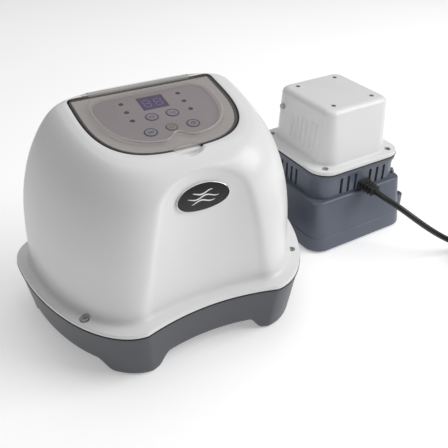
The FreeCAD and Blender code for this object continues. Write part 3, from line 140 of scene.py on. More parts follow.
MATERIALS = {
    "white_housing": moulded("white moulded plastic", (0.83, 0.83, 0.832), tone=0.012, rough=0.36,
                             coat=0.15),
    "grey_base": moulded("grey moulded plastic", (0.078, 0.081, 0.094), tone=0.05, rough=0.40),
    "slate_base": moulded("slate moulded plastic", (0.112, 0.128, 0.168), tone=0.05, rough=0.33),
    "black_rubber": moulded("black rubber", (0.012, 0.012, 0.013), tone=0.15, rough=0.62, bump=0.25),
    "steel_screw": moulded("plated screw steel", (0.52, 0.52, 0.51), rough=0.28, metallic=1.0,
                           grain=3000.0),
    "smoked_lid": moulded("smoked clear plastic", (0.45, 0.42, 0.405), tone=0.04, rough=0.10,
                          rough_span=0.06, bump=0.03, alpha=0.11),
    "taupe_fascia": moulded("taupe fascia film", (0.46, 0.43, 0.42), tone=0.03, rough=0.5),
    "display_glass": moulded("display glass", (0.055, 0.030, 0.11), tone=0.10, rough=0.10, bump=0.02),
    "led_lens": moulded("dark lamp lens", (0.006, 0.002, 0.005), tone=0.10, rough=0.15, bump=0.02),
    "button_key": moulded("button key plastic", (0.27, 0.25, 0.262), tone=0.03, rough=0.42),
    "button_power_key": moulded("power key plastic", (0.27, 0.26, 0.235), tone=0.03, rough=0.42),
    "circuit_board": moulded("circuit board mask", (0.02, 0.13, 0.05), tone=0.4, rough=0.3,
                             mottle=160.0),
    "black_component": moulded("black component plastic", (0.018, 0.018, 0.02), tone=0.1, rough=0.4),
    "badge_black": moulded("black badge gloss", (0.004, 0.004, 0.005), tone=0.1, rough=0.45,
                           rough_span=0.04, bump=0.02),
    "badge_silver": moulded("bright badge rim", (0.78, 0.78, 0.79), rough=0.16, metallic=1.0, bump=0.03),
    "grey_pipe": moulded("grey pipe plastic", (0.085, 0.086, 0.094), tone=0.05, rough=0.42),
    "titanium_plate": banded(moulded("titanium mesh", (0.30, 0.28, 0.26), rough=0.4, metallic=1.0),
                             400.0, "X", 0.55),
    "aluminium_sink": moulded("extruded aluminium", (0.66, 0.66, 0.67), rough=0.34, metallic=1.0,
                              grain=2500.0),
    "zinc_bracket": moulded("zinc plate", (0.50, 0.50, 0.49), tone=0.12, rough=0.38, metallic=1.0,
                            mottle=220.0),
    "reset_key": moulded("reset key plastic", (0.50, 0.50, 0.49), tone=0.03, rough=0.4),
    "core_iron": banded(moulded("core laminations", (0.10, 0.10, 0.105), rough=0.5, metallic=0.6),
                        900.0, "Y", 0.45),
    "copper_winding": banded(moulded("enamelled copper", (0.50, 0.20, 0.08), rough=0.3, metallic=0.8),
                             700.0, "Z", 0.4),
    "cord_sheath": moulded("black cord sheath", (0.012, 0.012, 0.0125), tone=0.15, rough=0.36,
                           bump=0.08),
    "plug_metal": moulded("plug brass", (0.68, 0.58, 0.36), rough=0.25, metallic=1.0, grain=2500.0),
}

for entry in frame["record"]["subparts"]:
    cad_mesh = frame["nodes"][entry["node"]].data
    cad_mesh.materials.clear()
    cad_mesh.materials.append(MATERIALS[entry["material_slot"]])


# ---------------------------------------------------------------------------------------
# Mesh helpers.
# ---------------------------------------------------------------------------------------
def mesh_of(name, points, faces, station, weld=True):
    """A mesh in metres, its faces outwards, from points in millimetres at a station."""
    mesh = bpy.data.meshes.new(name)
    mesh.from_pydata([tuple(float(v) * MM for v in p) for p in points], [], faces)
    mesh.transform(station)
    work = bmesh.new()
    work.from_mesh(mesh)
    if weld:
        bmesh.ops.remove_doubles(work, verts=work.verts, dist=1e-6)
    bmesh.ops.recalc_face_normals(work, faces=work.faces)
    work.to_mesh(mesh)
    work.free()
    return mesh


def add_piece(name, points, faces, station, body, slot, replaces=(), finish=None, sharp=32.0):
    """A smooth shaded piece at a station, riding on a body."""
    mesh = mesh_of(name, points, faces, station)
    mesh.shade_smooth()
    mesh.set_sharp_from_angle(angle=math.radians(sharp))
    mesh.materials.append(finish or MATERIALS[slot])
    piece = bpy.data.objects.new(name, mesh)
    bpy.context.scene.collection.objects.link(piece)
    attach(piece, body)
    if replaces:
        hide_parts(*replaces)
    return piece


def skin(rings, capped=True):
    """Points and faces of a skin over closed rings of one count."""
    count = len(rings[0])
    points = [p for ring in rings for p in ring]
    faces = []
    for level in range(len(rings) - 1):
        low = level * count
        for k in range(count):
            after = (k + 1) % count
            faces.append((low + k, low + after, low + count + after, low + count + k))
    if capped:
        faces.append(tuple(range(count))[::-1])
        faces.append(tuple(range(len(points) - count, len(points))))
    return points, faces


def loop_skin(rings):
    """A skin whose last ring joins its first, as on a seal."""
    return skin(rings + rings[:1], capped=False)


def merged(parts):
    """Several (points, faces) as one."""
    points, faces = [], []
    for part_points, part_faces in parts:
        start = len(points)
        points += list(part_points)
        faces += [tuple(start + k for k in face) for face in part_faces]
    return points, faces


def carve(piece, station, tools, sharp=32.0):
    """Cut a piece by closed tool meshes, given as (points, faces) in its station."""
    cutter = bpy.data.objects.new("cutter", mesh_of("cutter", *merged(tools), station, weld=False))
    bpy.context.scene.collection.objects.link(cutter)
    step = piece.modifiers.new("cut", "BOOLEAN")
    step.operation = "DIFFERENCE"
    step.solver = "EXACT"
    step.object = cutter
    bpy.context.view_layer.update()
    cut_mesh = bpy.data.meshes.new_from_object(
        piece.evaluated_get(bpy.context.evaluated_depsgraph_get()))
    piece.modifiers.clear()
    piece.data = cut_mesh
    cut_mesh.shade_smooth()
    cut_mesh.set_sharp_from_angle(angle=math.radians(sharp))
    bpy.data.objects.remove(cutter)


def at_level(ring, z):
    """A plan ring lifted to a level."""
    return np.column_stack([ring, np.full(len(ring), float(z))])


def arc_path(x, y, radius, start=0.0, end=360.0, count=40, flat=1.0):
    """Points on a circle or part of it."""
    angles = np.radians(np.linspace(start, end, count))
    return np.stack([x + radius * np.cos(angles), y + flat * radius * np.sin(angles)], 1)


def circle(x, y, radius, count):
    """Points round a circle, each once."""
    return arc_path(x, y, radius, count=count + 1)[:-1]


def spaced(points, count):
    """Points at equal steps of length along an open polyline, both ends kept."""
    points = np.asarray(points, float)
    runs = np.linalg.norm(np.diff(points, axis=0), axis=1)
    along = np.concatenate([[0], np.cumsum(runs)])
    wanted = np.linspace(0, along[-1], count)
    return np.stack([np.interp(wanted, along, points[:, k]) for k in range(points.shape[1])], 1)


def disc_tool(x, y, low, high, radius, count=40):
    """A closed upright cylinder."""
    return skin([at_level(circle(x, y, radius, count), z) for z in (low, high)])


def box_tool(low, high):
    """A closed box between two corners."""
    rings = [[(low[0], low[1], z), (high[0], low[1], z), (high[0], high[1], z), (low[0], high[1], z)]
             for z in (low[2], high[2])]
    return skin(rings)


def smooth_step(value):
    """0 to 1 with level ends."""
    t = np.clip(value, 0.0, 1.0)
    return t * t * (3 - 2 * t)


# ---------------------------------------------------------------------------------------
# Plan outlines of the dome and its flange.
# ---------------------------------------------------------------------------------------
FRONT_COUNT = 30
SIDE_COUNT = 66
CORNER_COUNT = 24
BACK_COUNT = 16
CORNER_RUN_X = 58.0
QUARTER = np.linspace(0, math.pi / 2, 400)


def superellipse(centre_x, centre_y, run_x, run_y, angles, square):
    """A quarter from straight ahead of its centre round to the side."""
    return np.stack([centre_x + run_x * np.sin(angles) ** (2 / square),
                     centre_y + run_y * np.cos(angles) ** (2 / square)], 1)


def half_plan(half, ridge_x, ridge_y, front_mid, back_y, widest_y, square, run_x):
    """Right half of an outline from the middle of the front to the middle of the back."""
    xs = np.linspace(0, ridge_x, FRONT_COUNT)
    front = np.stack([xs, front_mid + (ridge_y - front_mid) * (xs / ridge_x) ** 2], 1)
    side = superellipse(ridge_x, widest_y, half - ridge_x, ridge_y - widest_y, QUARTER, square)
    corner = superellipse(half - run_x, widest_y, run_x, back_y - widest_y, QUARTER[::-1], 2.1)
    back = np.stack([np.linspace(half - run_x, 0, BACK_COUNT), np.full(BACK_COUNT, back_y)], 1)
    return np.concatenate([front, spaced(side, SIDE_COUNT)[1:], spaced(corner, CORNER_COUNT)[1:],
                           back[1:]])


def whole(half_ring):
    """A closed ring from its right half."""
    left = half_ring[1:-1][::-1].copy()
    left[:, 0] *= -1
    return np.concatenate([half_ring, left])


def flange_plan(inset):
    """The flange's outline drawn in by an inset."""
    return whole(half_plan(171.5 - inset, 78.5 - 0.5 * inset, -51.7 + inset, -39.2 + inset,
                           180.0 - inset, 130.0, 1.9, CORNER_RUN_X - 0.3 * inset))


def outward(ring, distance):
    """A closed plan ring pushed outwards."""
    ahead = np.roll(ring, -1, axis=0) - np.roll(ring, 1, axis=0)
    normal = np.stack([ahead[:, 1], -ahead[:, 0]], 1)
    normal /= np.linalg.norm(normal, axis=1)[:, None]
    return ring + normal * distance


# ---------------------------------------------------------------------------------------
# White domed housing.
# ---------------------------------------------------------------------------------------
# Height at the hinge line, slope, half width, ridge x and y, back, squareness.
DOME_ROWS = np.array([
    (3.0, 0.0, 155.8, 79.0, -33.0, 165.0, 1.85),
    (50.0, 1.5, 154.6, 70.0, -35.0, 161.0, 1.9),
    (95.0, 3.4, 149.0, 61.5, -36.0, 156.5, 2.0),
    (135.0, 5.4, 137.5, 52.0, -34.5, 151.5, 2.1),
    (163.0, 7.2, 123.5, 41.0, -30.0, 147.5, 2.3),
    (181.0, 8.5, 110.0, 33.0, -20.5, 143.8, 2.5),
    (188.6, 8.9, 100.0, 30.0, -10.5, 141.2, 2.7),
    (191.5, 8.9, 90.5, 28.0, -0.5, 138.6, 2.9),
])
RISE, LEAN, HALF, RIDGE_X, RIDGE_Y, BACK_Y, SQUARE = range(7)


def flowing_rows(rows, steps=60):
    """Rows joined by a smooth curve through all of them, closely sampled."""
    size = rows[:, [RISE, HALF, RIDGE_Y]]
    knots = np.concatenate([[0], np.cumsum(np.sqrt(np.linalg.norm(np.diff(size, axis=0), axis=1)))])
    slopes = np.zeros_like(rows)
    gaps = np.diff(knots)
    chords = np.diff(rows, axis=0) / gaps[:, None]
    slopes[1:-1] = ((chords[:-1] * gaps[1:, None] + chords[1:] * gaps[:-1, None])
                    / (gaps[1:] + gaps[:-1])[:, None])
    slopes[0], slopes[-1] = chords[0], chords[-1]
    out = []
    for k in range(len(rows) - 1):
        for t in np.linspace(0, 1, steps, endpoint=False):
            out.append((2 * t ** 3 - 3 * t ** 2 + 1) * rows[k]
                       + (t ** 3 - 2 * t ** 2 + t) * gaps[k] * slopes[k]
                       + (3 * t ** 2 - 2 * t ** 3) * rows[k + 1]
                       + (t ** 3 - t ** 2) * gaps[k] * slopes[k + 1])
    out.append(rows[-1])
    return np.array(out)


RECESS_BLEND = 1.6
RECESS_LIP = 1.3


def recess_depth(x, z):
    """Where the hollow front lies: a shallow trough that leans back near its arched top."""
    bow = 0.00144 + 0.0022 * smooth_step((z + 20) / 150)
    middle = -24.0 + 0.0019 * np.maximum(0, z - 112) ** 2
    return middle - bow * x ** 2


def softer_max(a, b, blend):
    """The larger of two, rounded where they meet."""
    near = np.maximum(blend - np.abs(a - b), 0) / blend
    return np.maximum(a, b) + near ** 2 * blend / 4


FLANGE_TOP = 4.0
FOOT_FILLET = 7.0


def dome_ring(row):
    """One closed ring of the dome with its hollow front."""
    plan = whole(half_plan(row[HALF], row[RIDGE_X], row[RIDGE_Y], row[RIDGE_Y], row[BACK_Y], 122.0,
                           row[SQUARE], CORNER_RUN_X))
    z = row[RISE] + (plan[:, 1] - HINGE_LINE_Y) * math.tan(math.radians(row[LEAN]))
    z = np.maximum(z, FLANGE_TOP)
    front = plan[:, 1] < 30
    hollow = recess_depth(plan[front, 0], z[front])
    inside = hollow - plan[front, 1]
    lip = RECESS_LIP * smooth_step(inside / 2.5) * np.exp(-np.maximum(inside, 0) / 9.0)
    plan[front, 1] = softer_max(plan[front, 1], hollow, RECESS_BLEND) + lip
    return plan, z


rows = flowing_rows(DOME_ROWS)
lengths = np.concatenate([[0], np.cumsum(np.linalg.norm(np.diff(rows[:, [RISE, HALF, RIDGE_Y]],
                                                                axis=0), axis=1))])
rings = [at_level(flange_plan(16.0), 0.0), at_level(flange_plan(0.3), 0.0),
         at_level(flange_plan(0.0), 0.3)]
for share in np.linspace(0, 1, 6):
    angle = share * math.pi / 2
    rings.append(at_level(flange_plan(1.4 * (1 - math.cos(angle))),
                          FLANGE_TOP - 1.4 + 1.4 * math.sin(angle)))
for share in np.linspace(0, 1, 9):
    angle = share * math.pi / 2
    level = FLANGE_TOP + FOOT_FILLET * (1 - math.cos(angle))
    row = rows[np.argmin(np.abs(rows[:, RISE] - level))].copy()
    row[RISE] = level
    plan, _ = dome_ring(row)
    rings.append(at_level(outward(plan, FOOT_FILLET * (1 - math.sin(angle))), level))
start = np.interp(FLANGE_TOP + FOOT_FILLET, rows[:, RISE], lengths)
for along in np.linspace(start + 2.0, lengths[-1], 104):
    row = np.array([np.interp(along, lengths, rows[:, k]) for k in range(rows.shape[1])])
    plan, z = dome_ring(row)
    rings.append(np.column_stack([plan, z]))

# The roof round the lid, in the lid's own plane.
LID_HALF, LID_STRAIGHT, LID_FRONT, LID_SQUARE = 84.0, 20.0, 105.0, 3.0
LID_GAP = 1.6
WELL_CENTRE = np.array([0.0, -48.0])
SLOT_HALF, SLOT_BACK = 60.6, 7.0


def lid_outline(inset, corner=7.0, count=90):
    """Right half of the lid's outline from the middle of the front to the middle of the back."""
    half, front = LID_HALF - inset, LID_FRONT - inset
    bow = superellipse(0, -LID_STRAIGHT, half, -front, QUARTER, LID_SQUARE)
    turn = [(half - corner * (1 - math.cos(a)), -inset - corner * (1 - math.sin(a)))
            for a in np.linspace(0, math.pi / 2, 12)]
    path = np.concatenate([spaced(bow, 300), [(half, -LID_STRAIGHT + 1)], turn])
    return np.concatenate([spaced(path, count),
                           np.stack([np.linspace(half - corner, 0, 28)[1:], np.full(27, -inset)], 1)])


def well_outline(gap):
    """Right half of the opening: the lid's outline with a gap, and the hinge slot behind it."""
    outline = lid_outline(-gap)
    slot_half = SLOT_HALF + gap - LID_GAP
    keep = outline[(outline[:, 0] > slot_half) | (outline[:, 1] < -LID_STRAIGHT)]
    slot_back = SLOT_BACK + gap - LID_GAP
    tail = [(slot_half, gap), (slot_half, slot_back), (0.0, slot_back)]
    return np.concatenate([keep, tail])


def about(outline, centre, angles):
    """A star-shaped half outline read at angles about a centre."""
    reach = outline - centre
    theirs = np.arctan2(reach[:, 0], -reach[:, 1])
    order = np.argsort(theirs, kind="stable")
    return np.stack([np.interp(angles, theirs[order], outline[order, k]) for k in range(2)], 1)


def to_panel(points):
    """Housing coordinates to the lid's plane."""
    c, s = math.cos(math.radians(TOP_SLOPE)), math.sin(math.radians(TOP_SLOPE))
    y, z = points[:, 1] - HINGE_LINE_Y, points[:, 2] - HINGE_LINE_Z
    return np.column_stack([points[:, 0], y * c + z * s, -y * s + z * c])


def from_panel(points):
    """The lid's plane to housing coordinates."""
    c, s = math.cos(math.radians(TOP_SLOPE)), math.sin(math.radians(TOP_SLOPE))
    return np.column_stack([points[:, 0], points[:, 1] * c - points[:, 2] * s + HINGE_LINE_Y,
                            points[:, 1] * s + points[:, 2] * c + HINGE_LINE_Z])


half_count = FRONT_COUNT + SIDE_COUNT + CORNER_COUNT + BACK_COUNT - 3
top_ring = to_panel(rings[-1])[:half_count]
top_angles = np.arctan2(top_ring[:, 0], -(top_ring[:, 1] - WELL_CENTRE[1]))
WELL_LEVELS = ((2.2, 0.0), (LID_GAP + 0.25, -0.1), (LID_GAP + 0.06, -0.3), (LID_GAP, -0.7),
               (LID_GAP, -4.0))
corner_points = [(SLOT_HALF, LID_GAP), (SLOT_HALF, SLOT_BACK)]
snap = [int(np.argmin(np.abs(top_angles - math.atan2(x, -(y - WELL_CENTRE[1])))))
        for x, y in corner_points]
roof = []
for gap, level in WELL_LEVELS:
    outline = well_outline(gap)
    ring = about(outline, WELL_CENTRE, top_angles)
    extra = gap - LID_GAP
    ring[snap[0]] = (SLOT_HALF + extra, LID_GAP + extra)
    ring[snap[1]] = (SLOT_HALF + extra, SLOT_BACK + extra)
    roof.append(at_level(whole(ring), level))
ledge = about(lid_outline(9.0), WELL_CENTRE, top_angles)
roof += [at_level(whole(ledge), -4.0), at_level(whole(ledge), -24.0)]

# Thumb scoop pressed into the roof and the top of the front.
SCOOP_CENTRE, SCOOP_REACH = (0.0, -124.5, 6.5), (18.5, 15.5, 14.0)


def pressed(points):
    """Points lowered onto the scoop's bowl where they are inside it."""
    points = points.copy()
    flat = (((points[:, 0] - SCOOP_CENTRE[0]) / SCOOP_REACH[0]) ** 2
            + ((points[:, 1] - SCOOP_CENTRE[1]) / SCOOP_REACH[1]) ** 2)
    inside = (flat < 1) & (points[:, 2] > -14)
    bowl = SCOOP_CENTRE[2] - SCOOP_REACH[2] * np.sqrt(np.maximum(0, 1 - flat))
    lowered = -softer_max(-points[:, 2], -bowl, 0.9)
    points[inside, 2] = np.minimum(points[inside, 2], lowered[inside])
    return points


shell_rings = []
for ring in rings:
    shell_rings.append(from_panel(pressed(to_panel(ring))) if ring[:, 2].max() > 120 else ring)
for k, ring in enumerate(roof):
    shell_rings.append(from_panel(pressed(ring) if k < 4 else ring))
points, faces = skin(shell_rings)
housing = add_piece("upper_housing_shell", points, faces, DOME, "control_unit", "white_housing",
                    replaces=("upper_housing",), sharp=38.0)
SCREW_SPOTS = [(-130.0, 0.0), (130.0, 0.0), (-105.0, 171.0), (105.0, 171.0)]
carve(housing, DOME, [disc_tool(x, y, 2.4, 14, 6.0) for x, y in SCREW_SPOTS]
      + [disc_tool(x, y, -1, 14, 2.3, 24) for x, y in SCREW_SPOTS], sharp=38.0)

# ---------------------------------------------------------------------------------------
# Grey base: tapered skirt with arches between four feet.
# ---------------------------------------------------------------------------------------
FOOT_LEVEL, ARCH_LEVEL = -63.5, -46.5


def arch_share(value, low, high):
    """0 where a foot stands, 1 in the open arch, eased like two joined arcs."""
    t = np.clip((value - low) / (high - low), 0, 1)
    return 0.5 - 0.5 * np.cos(math.pi * t)


def underside(x, y):
    """Level of the base's lower side."""
    along_front = arch_share(-np.abs(x), -69.0, -50.0)
    along_side = arch_share(y, -25.0, -10.0) * arch_share(-y, -118.0, -103.0)
    return FOOT_LEVEL + (ARCH_LEVEL - FOOT_LEVEL) * np.maximum(along_front, along_side)


def base_inset(z):
    """How far the skirt is drawn in at a level."""
    return np.interp(z, [FOOT_LEVEL, -43.0, -2.0], [9.0, 6.0, 0.4])


edge_plan = flange_plan(7.5)
edge_level = underside(edge_plan[:, 0], edge_plan[:, 1])
plans = [flange_plan(float(i)) for i in np.linspace(0, 12, 25)]


def plan_at(inset):
    """Outline points drawn in by one inset each."""
    position = np.clip(np.asarray(inset) / 0.5, 0, 23.999)
    low = position.astype(int)
    part = (position - low)[:, None]
    stack = np.array(plans)
    index = np.arange(stack.shape[1])
    return stack[low, index] * (1 - part) + stack[low + 1, index] * part


# Black gasket that shows as a thin line between the flange and the base.
bead_line = [at_level(flange_plan(inset), level) for inset, level in
             ((8.4, -1.95), (-0.1, -1.95), (-0.45, -1.6), (-0.45, -0.4), (-0.1, -0.05), (8.4, -0.05))]
points, faces = loop_skin(bead_line)
add_piece("housing_gasket_bead", points, faces, DOME, "control_unit", "black_rubber",
          replaces=("housing_gasket",))

base_rings = [at_level(flange_plan(14.0), -2.0), at_level(flange_plan(0.9), -2.0)]
EDGE_ROUND = 1.8
for share in np.concatenate([[0.004, 0.012], np.linspace(0.03, 1, 14)]):
    level = -2.0 + (edge_level + EDGE_ROUND + 2.0) * share
    base_rings.append(np.column_stack([plan_at(base_inset(level)), level]))
for angle in np.radians([22, 45, 67, 90]):
    level = edge_level + EDGE_ROUND * (1 - math.sin(angle))
    inset = base_inset(edge_level) + EDGE_ROUND * (1 - math.cos(angle))
    base_rings.append(np.column_stack([plan_at(inset), level]))
last = base_rings[-1]
middle = np.array([0.0, 62.0])
for share in np.linspace(0.985, 0.02, 62):
    flat = middle + (last[:, :2] - middle) * share
    base_rings.append(np.column_stack([flat, underside(flat[:, 0], flat[:, 1])]))
points, faces = skin(base_rings)
base = add_piece("base_housing_tray", points, faces, DOME, "control_unit", "grey_base",
                 replaces=("base_housing",), sharp=40.0)
PORT_X, PORT_LEVEL, PORT_WAY = 58.0, -21.0, 16.4
port_ways = [skin([[(x, y, z) for x, z in circle(port, PORT_LEVEL, PORT_WAY, 48)] for y in (158.0, 190.0)])
             for port in (-PORT_X, PORT_X)]
carve(base, DOME, port_ways, sharp=40.0)

# ---------------------------------------------------------------------------------------
# Lid, its seal, and what is printed under it.
# ---------------------------------------------------------------------------------------
NOTCH_RADIUS, NOTCH_TIP = 21.0, -119.0
TONGUE_HALF, TONGUE_BACK = 60.0, 3.0
LID_CENTRE = np.array([0.0, -58.0])
LID_ANGLES = np.concatenate([np.linspace(0, math.radians(16), 25)[:-1],
                             np.linspace(math.radians(16), math.pi, 130)])


def notched(outline):
    """A half outline with the thumb notch in its front edge."""
    outline = outline.copy()
    x = np.minimum(np.abs(outline[:, 0]), NOTCH_RADIUS)
    arc = NOTCH_TIP - NOTCH_RADIUS + np.sqrt(NOTCH_RADIUS ** 2 - x ** 2)
    front = outline[:, 1] < -90
    outline[front, 1] = softer_max(outline[front, 1], arc[front], 0.5)
    return outline


def lid_edge():
    """Right half of the lid with its hinge tongue and thumb notch."""
    outline = lid_outline(0.0, corner=9.0, count=400)
    keep = outline[(outline[:, 0] > TONGUE_HALF + 2) | (outline[:, 1] < -LID_STRAIGHT)]
    tongue = [(TONGUE_HALF + 1.6, 0.1), (TONGUE_HALF + 0.4, 0.9), (TONGUE_HALF, 2.0),
              (TONGUE_HALF, TONGUE_BACK - 0.6), (TONGUE_HALF - 0.6, TONGUE_BACK), (0.0, TONGUE_BACK)]
    return about(np.concatenate([notched(keep), tongue]), LID_CENTRE, LID_ANGLES)


CONTOUR_HALF, CONTOUR_FRONT, CONTOUR_BACK = 68.5, 90.0, -11.0


def contour_edge():
    """Right half of the raised contour inside the lid's edge, dipping at the notch."""
    bow = spaced(superellipse(0, -34.0, CONTOUR_HALF, -CONTOUR_FRONT + 14.0, QUARTER, 2.7), 300)
    turn = superellipse(CONTOUR_HALF - 22.0, -34.0, 22.0, 34.0 + CONTOUR_BACK, QUARTER[::-1], 2.3)
    back = np.stack([np.linspace(CONTOUR_HALF - 22.0, 0, 30), np.full(30, CONTOUR_BACK)], 1)
    outline = np.concatenate([bow, turn, back])
    dip = 11.5 * np.exp(-(outline[:, 0] / 9.5) ** 2)
    outline[:, 1] += np.where(outline[:, 1] < -80, dip, 0)
    return about(outline, LID_CENTRE, LID_ANGLES)


EDGE, CONTOUR = lid_edge(), contour_edge()


def between(share, level):
    """A ring part of the way from the lid's edge (0) to its contour (1) and on to its middle (2)."""
    if share <= 1:
        half = EDGE + (CONTOUR - EDGE) * share
    else:
        half = CONTOUR + (LID_CENTRE - CONTOUR) * (share - 1)
    return at_level(whole(half), level)


def drawn_in(half, distance, level):
    """A half ring pulled straight towards the lid's centre by a distance."""
    reach = half - LID_CENTRE
    far = np.linalg.norm(reach, axis=1)[:, None]
    return at_level(whole(LID_CENTRE + reach * (far - distance) / far), level)


LID_UNDER = -1.2
lid_rings = [between(1.98, LID_UNDER), between(1.5, LID_UNDER), between(1, LID_UNDER),
             drawn_in(EDGE, 2.0, LID_UNDER), drawn_in(EDGE, 0.4, LID_UNDER),
             drawn_in(EDGE, 0.0, LID_UNDER + 0.4), drawn_in(EDGE, 0.0, 0.6), drawn_in(EDGE, 0.15, 0.95),
             drawn_in(EDGE, 0.5, 1.2), drawn_in(EDGE, 1.1, 1.3), between(0.5, 1.42),
             drawn_in(CONTOUR, -2.4, 1.5), drawn_in(CONTOUR, -1.9, 1.62), drawn_in(CONTOUR, -1.3, 2.05),
             drawn_in(CONTOUR, -0.7, 2.5), drawn_in(CONTOUR, 0.0, 2.68), drawn_in(CONTOUR, 0.8, 2.6),
             drawn_in(CONTOUR, 1.5, 2.3), drawn_in(CONTOUR, 2.2, 2.1), drawn_in(CONTOUR, 3.0, 2.05),
             between(1.4, 2.05), between(1.7, 2.05), between(1.98, 2.05)]
points, faces = skin(lid_rings)
add_piece("control_lid_pane", points, faces, PANEL, "lid", "smoked_lid", replaces=("control_lid",))
# Raised bead along the lid's contour. Its lighter, more opaque colour is a painted highlight along the
# contour line.
BEAD = ((-1.1, 2.0), (-1.1, 2.25), (-0.7, 2.6), (0.0, 2.78), (0.8, 2.7), (0.9, 2.4))
bead_rings = [drawn_in(CONTOUR, inset, level) for inset, level in BEAD]
points, faces = loop_skin(bead_rings)
add_piece("control_lid_highlight_bead", points, faces, PANEL, "lid", "smoked_lid",
          finish=moulded("smoked bead painted highlight", (0.56, 0.53, 0.51), tone=0.03, rough=0.2, alpha=0.45))
BARREL_RADIUS = 2.6
barrel = [[(x, y, z) for y, z in circle(TONGUE_BACK, LID_UNDER, BARREL_RADIUS, 24)]
          for x in (-TONGUE_HALF, -TONGUE_HALF + 0.3, TONGUE_HALF - 0.3, TONGUE_HALF)]
points, faces = skin(barrel)
add_piece("control_lid_barrel", points, faces, PANEL, "lid", "smoked_lid",
          finish=moulded("frosted barrel", (0.60, 0.58, 0.56), tone=0.03, rough=0.3, alpha=0.8))

# Black lining of the gap round the lid.
well_wall, well_face = (about(well_outline(LID_GAP - back), LID_CENTRE, LID_ANGLES) for back in (0.05, 0.5))
seal_inner = about(lid_outline(2.8), LID_CENTRE, LID_ANGLES)
seal_mid = about(lid_outline(0.9), LID_CENTRE, LID_ANGLES)
seal_rings = [at_level(whole(half), level) for half, level in
              ((well_wall, -3.95), (well_wall, -0.45), (well_face, -0.4), (well_face, -2.9),
               (seal_mid, -2.9), (seal_mid, -1.9), (seal_inner, -1.9), (seal_inner, -3.95))]
points, faces = loop_skin(seal_rings)
seal = add_piece("lid_seal_lining", points, faces, PANEL, "control_unit", "black_rubber",
                 replaces=("lid_seal",), sharp=30,
                 finish=moulded("dark seal rubber", (0.008, 0.008, 0.009), tone=0.2, rough=0.55))
carve(seal, PANEL, [box_tool((-15.2, -129, -8), (15.2, -112, 2))], sharp=30)

# Printed film on the fascia, with openings for the keys, lamps and display.
KEYS = {"button_upper_left": (-11.8, -60.8, 7.0), "button_upper_right": (11.8, -60.8, 7.0),
        "button_lower_left": (-23.7, -86.9, 7.0), "button_lower_right": (23.7, -86.9, 7.0),
        "button_power": (0.0, -85.5, 6.2)}
LAMPS = [(side * 33.3, -26.4 - 17.0 * place) for side in (-1, 1) for place in range(3)]
PANEL_TOP = -1.5
film_rings = [drawn_in(CONTOUR, inset, level) for inset, level in
              ((3.2, PANEL_TOP + 0.02), (3.0, PANEL_TOP + 0.3), (3.3, PANEL_TOP + 0.36))]
points, faces = skin(film_rings)
film = add_piece("fascia_film", points, faces, PANEL, "control_unit", "taupe_fascia",
                 finish=moulded("printed film", (0.30, 0.262, 0.275), tone=0.03, rough=0.45))
carve(film, PANEL, [disc_tool(x, y, -5, 5, radius + 0.35, 48) for x, y, radius in KEYS.values()]
      + [disc_tool(x, y, -5, 5, 2.8, 32) for x, y in LAMPS]
      + [box_tool((-15.0, -46.9, -5), (15.0, -21.1, 5))])


def stroke(path, width, low, high, closed=False):
    """A raised strip along a flat path, as points and faces."""
    path = np.asarray(path, float)
    if closed:
        ahead = np.roll(path, -1, axis=0) - np.roll(path, 1, axis=0)
    else:
        ahead = np.gradient(path, axis=0)
    ahead /= np.linalg.norm(ahead, axis=1)[:, None]
    side = np.stack([-ahead[:, 1], ahead[:, 0]], 1) * width / 2
    corners = [(path + side, low), (path + side, high), (path - side, high), (path - side, low)]
    rings = [[tuple(edge[k]) + (level,) for edge, level in corners] for k in range(len(path))]
    if closed:
        return loop_skin(rings)
    return skin(rings)


blue_print = moulded("blue print", (0.035, 0.05, 0.14), tone=0.1, rough=0.4)
green_print = moulded("green print", (0.115, 0.11, 0.05), tone=0.1, rough=0.4)
KEY_TOP = -0.7
SYMBOLS = {
    "button_upper_left": [(arc_path(0, 0, 2.6, flat=0.72)[:-1], True)],
    "button_upper_right": [(arc_path(-1.6, 0.6, 0.55)[:-1], True),
                           (arc_path(0.8, -0.3, 1.9, -150, 60), False)],
    "button_lower_left": [(arc_path(-1.6, 0, 1.25)[:-1], True), (arc_path(1.6, 0, 1.25)[:-1], True)],
    "button_lower_right": [(arc_path(0, 0, 2.3)[:-1], True),
                           ([(0, 1.6), (0, 0.5), (0, 0), (0.5, -0.3), (1.2, -0.8)], False)],
    "button_power": [(arc_path(0, 0, 2.3, 125, 415), False), ([(0, 0.6), (0, 1.8), (0, 3.0)], False)],
}
for name, (x, y, radius) in KEYS.items():
    ring_path = circle(0, 0, radius - 0.62, 48)
    parts = [stroke(ring_path + (x, y), 1.1, KEY_TOP - 0.05, KEY_TOP + 0.16, closed=True)]
    for path, closed in SYMBOLS[name]:
        parts.append(stroke(np.asarray(path) + (x, y), 0.7, KEY_TOP - 0.05, KEY_TOP + 0.12, closed))
    points, faces = merged(parts)
    add_piece(name + "_print", points, faces, PANEL, name,
              "button_power_key" if name == "button_power" else "button_key",
              finish=green_print if name == "button_power" else blue_print)

digit_light = moulded("display digits", (0.20, 0.16, 0.48), tone=0.05, rough=0.3, bump=0.0)
segments = []
for centre in (-6.6, 6.6):
    for x0, y0, x1, y1 in ((-3, 6.4, 3, 6.4), (-3, 0, 3, 0), (-3, -6.4, 3, -6.4), (-3.7, 0.8, -3.7, 5.6),
                           (3.7, 0.8, 3.7, 5.6), (-3.7, -5.6, -3.7, -0.8), (3.7, -5.6, 3.7, -0.8)):
        path = np.array([(x0, y0), ((x0 + x1) / 2, (y0 + y1) / 2), (x1, y1)]) + (centre, -34.0)
        segments.append(stroke(path, 1.1, PANEL_TOP - 0.05, PANEL_TOP + 0.08))
points, faces = merged(segments)
add_piece("display_digits", points, faces, PANEL, "control_unit", "display_glass", finish=digit_light)

